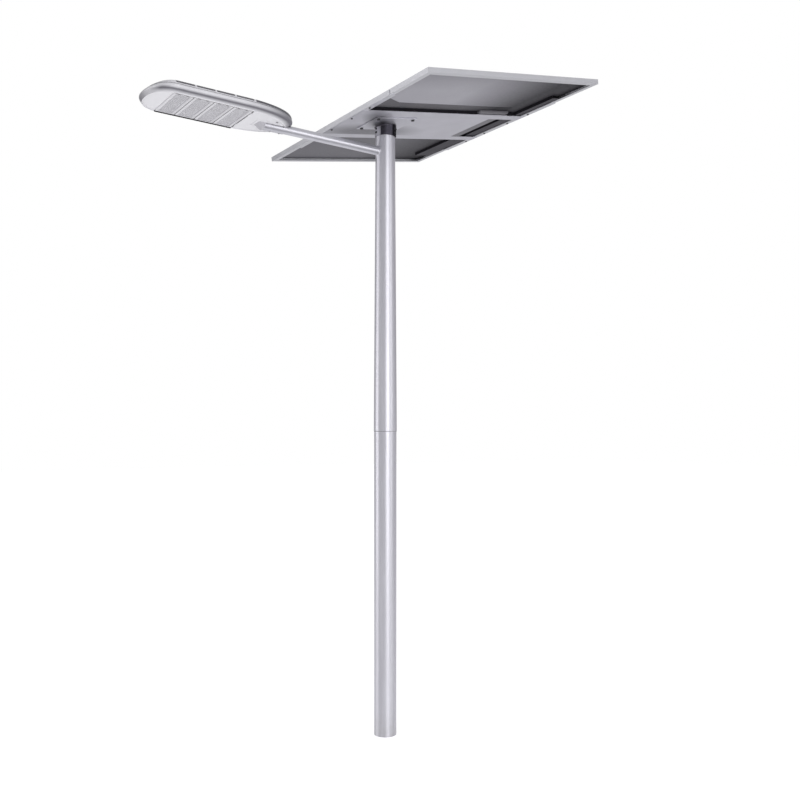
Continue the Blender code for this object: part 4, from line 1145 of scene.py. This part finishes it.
def build_modules():
    gap, border, field_depth = 0.0024, 0.0152, 0.0034
    field_half = MODULE_HALF - 0.010
    dashes, seals = [], []
    for number, place in enumerate(MODULE_PLACES, start=1):
        start, end = place + gap / 2, place + MODULE_PITCH - gap / 2
        near, far = start + border, end - border
        name = f"led_module_{number}"
        plate = block((-end, -MODULE_HALF, 0.0010), (-start, MODULE_HALF, 0.0120), 0.0010, 2)
        field = block((-far, -field_half, -0.005), (-near, field_half, field_depth))
        on_head(f"{name}_plate", cut(plate, [field]), "border", [name])
        parts = []
        tab_start, tab_end = 0.0033 - end, 0.0117 - end
        for step in range(13):
            y = -0.132 + step * 0.022
            low, high = (tab_start, y - 0.0055, 0.0002), (tab_end, y + 0.0055, 0.0020)
            parts.append(block(low, high, 0.0008, 1))
        for y in (-0.128, -0.064, 0.0, 0.064, 0.128):
            bolt = socket_bolt(0.0030, 0.0012, 0.0015, 0.004)
            parts.append(moved(bolt, head_down(-start - 0.0072, y, 0.0010)))
        on_head(f"{name}_tabs", merged(parts), "face")
        build_lenses(name, near, far, field_half)
        for share in (0.16, 0.76):
            dash = near + share * (far - near)
            dashes.append(block((-dash - 0.013, -0.1418, 0.0004), (-dash, -0.1392, 0.0020)))
        seam = max(place, MODULE_START + gap / 2)
        low, high = (-seam - gap / 2, -MODULE_HALF, 0.0012), (-seam + gap / 2, MODULE_HALF, 0.0060)
        seals.append(block(low, high))
    # A black strip along the far side of the module window: painted shade on the recess's far wall.
    sill = block((-MODULE_END, 0.1472, -0.0030), (-MODULE_START, 0.1512, 0.0045), 0.0008, 2)
    on_head("module_far_shade_strip", sill, "gasket")
    near_strip = block((-MODULE_END, -0.1498, -0.0002), (-MODULE_START, -0.1464, 0.0045), 0.0004, 1)
    on_head("module_seals", merged([near_strip, *seals, *dashes]), "gasket")


def socket_ring(place, half, low, high, squareness=1.0):
    """A ring across the arm's axis: a circle, or squarer with a lower squareness."""
    middle, rise, count = (low + high) / 2, (high - low) / 2, 64
    ring = []
    for step in range(count):
        angle = 2 * math.pi * step / count
        across = half * signed_power(math.cos(angle), squareness)
        ring.append((-place, across, middle + rise * signed_power(math.sin(angle), squareness)))
    return ring


def build_socket():
    radius, rear, neck, edge = 0.0270, 0.644, 0.760, 0.0008
    rings = [
        socket_ring(rear, radius - edge, -radius + edge, radius - edge),
        socket_ring(rear + edge, radius, -radius, radius),
        socket_ring(neck, radius, -radius, radius),
        socket_ring(neck + 0.005, 0.030, -radius, 0.030, 0.8),
        socket_ring(neck + 0.012, 0.034, -0.025, 0.033, 0.6),
        socket_ring(0.798, 0.037, 0.001, 0.035, 0.4),
    ]
    bore = loft([circle(ARM_RADIUS + GAP, place, 64) for place in (0.6, 0.7625)])
    socket = cut(loft(rings), [moved(bore, ALONG_ARM)])
    piece = on_head("arm_socket_fine", socket, "arm", ["arm_socket"])
    # The socket's sloped end takes the darker wedge paint: painted shade.
    second_finish(piece, "wedge", lambda face: face.center.x < -neck - 0.002)
    apron = block((-0.8092, -0.0473, 0.0016), (-0.7580, 0.0473, 0.0036), 0.0006, 2)
    on_head("socket_apron", apron, "face")
    for number, place in enumerate((0.668, 0.722), start=1):
        bolt = socket_bolt(0.0050, 0.0028, 0.0030, 0.0025)
        seat = ARM @ head_down(-place, 0, -radius - 0.0001)
        add_screw(f"socket_screw_{number}", bolt, seat, "lamp_head", "steel")
    repaint("face", "rear_door")
    repaint("steel", "latch_near", "latch_far", "door_hinge_pin")
    repaint("wrap", "battery_pack")
    repaint("black_plastic", "charge_controller")
    repaint("pole", "pole_foot_disc")


build_pole()
build_arm()
build_bracket()
build_fasteners()
build_support()
build_panel()
build_junction_box()
build_housing()
build_cover()
build_heat_sinks()
build_modules()
build_socket()


# ---- Studio ----


def build_floor():
    """A pale floor with a little glow of its own, so that it meets the backdrop without a line."""
    data = bpy.data.meshes.new("studio_floor")
    reach, height = 40.0, -0.001
    corners = [(x, y, height) for x, y in rectangle(-reach, reach, -reach, reach)]
    data.from_pydata(corners, [], [(0, 1, 2, 3)])
    floor = linked("studio_floor", data)
    look = Shader("pale_floor")
    look.bump(look.noise(90.0), 0.02)
    look.finish(look.mottle(0.8, (0.86, 0.86, 0.87), (0.88, 0.88, 0.89)), 0.0, 0.9)
    seen = look.add("ShaderNodeLightPath").outputs["Is Camera Ray"]
    glow = look.math("ADD", look.times(seen, 0.30), 0.22)
    look.put(look.bsdf.inputs["Emission Color"], (1.0, 1.0, 1.0))
    look.put(look.bsdf.inputs["Emission Strength"], glow)
    data.materials.append(look.material)


def build_world():
    """A white backdrop for the camera, and a weaker even fill for everything else."""
    world = bpy.data.worlds.new("studio")
    bpy.context.scene.world = world
    world.use_nodes = True
    add_node, link = world.node_tree.nodes.new, world.node_tree.links.new
    mixer = add_node("ShaderNodeMixShader")
    for place, colour, strength in ((1, (0.95, 0.94, 1.0), 0.20), (2, (1.0, 1.0, 1.0), 1.0)):
        background = add_node("ShaderNodeBackground")
        background.inputs["Color"].default_value = (*colour, 1.0)
        background.inputs["Strength"].default_value = strength
        link(background.outputs["Background"], mixer.inputs[place])
    link(add_node("ShaderNodeLightPath").outputs["Is Camera Ray"], mixer.inputs["Fac"])
    link(mixer.outputs["Shader"], world.node_tree.nodes["World Output"].inputs["Surface"])


CAMERA_TURN = math.radians(33.23)
FORWARD = Vector((math.sin(CAMERA_TURN), math.cos(CAMERA_TURN), 0))
RIGHT = Vector((math.cos(CAMERA_TURN), -math.sin(CAMERA_TURN), 0))


def add_softbox(name, bearing, distance, height, width, tall, power, target_height=2.0):
    """A soft area light. bearing turns from straight behind the camera towards its right, in degrees."""
    turn = math.radians(bearing)
    outward = -FORWARD * math.cos(turn) + RIGHT * math.sin(turn)
    place = outward * distance + Vector((0, 0, height))
    light = bpy.data.lights.new(name, "AREA")
    light.shape = "RECTANGLE"
    light.size = width
    light.size_y = tall
    light.energy = power
    lamp = linked(name, light)
    lamp.matrix_world = aimed(Vector((0, 0, target_height)) - place, place, "-Z")
    lamp.visible_camera = False


def build_lights():
    add_softbox("key_right", 27, 7.0, 3.0, 4.4, 5.2, 215, 2.4)
    add_softbox("strip_left", -92, 6.0, 2.4, 3.4, 5.0, 88)
    add_softbox("side_right", 66, 7.0, 3.3, 2.6, 1.6, 60, 3.3)
    sun = bpy.data.lights.new("overhead", "SUN")
    sun.energy = 1.3
    sun.angle = math.radians(150)
    linked("overhead", sun).visible_camera = False


def build_camera():
    camera = bpy.data.cameras.new("camera")
    camera.sensor_width = 36.0
    camera.lens = 41.67
    camera.shift_y = 0.0421
    camera.clip_end = 200.0
    view = linked("camera", camera)
    distance, offset, eye = 5.28, -0.0838, 1.712
    view.location = -FORWARD * distance - RIGHT * offset + Vector((0, 0, eye))
    view.rotation_euler = (math.pi / 2, 0, -CAMERA_TURN)
    bpy.context.scene.camera = view


build_floor()
build_world()
build_lights()
build_camera()
bpy.context.scene.view_settings.view_transform = "Standard"
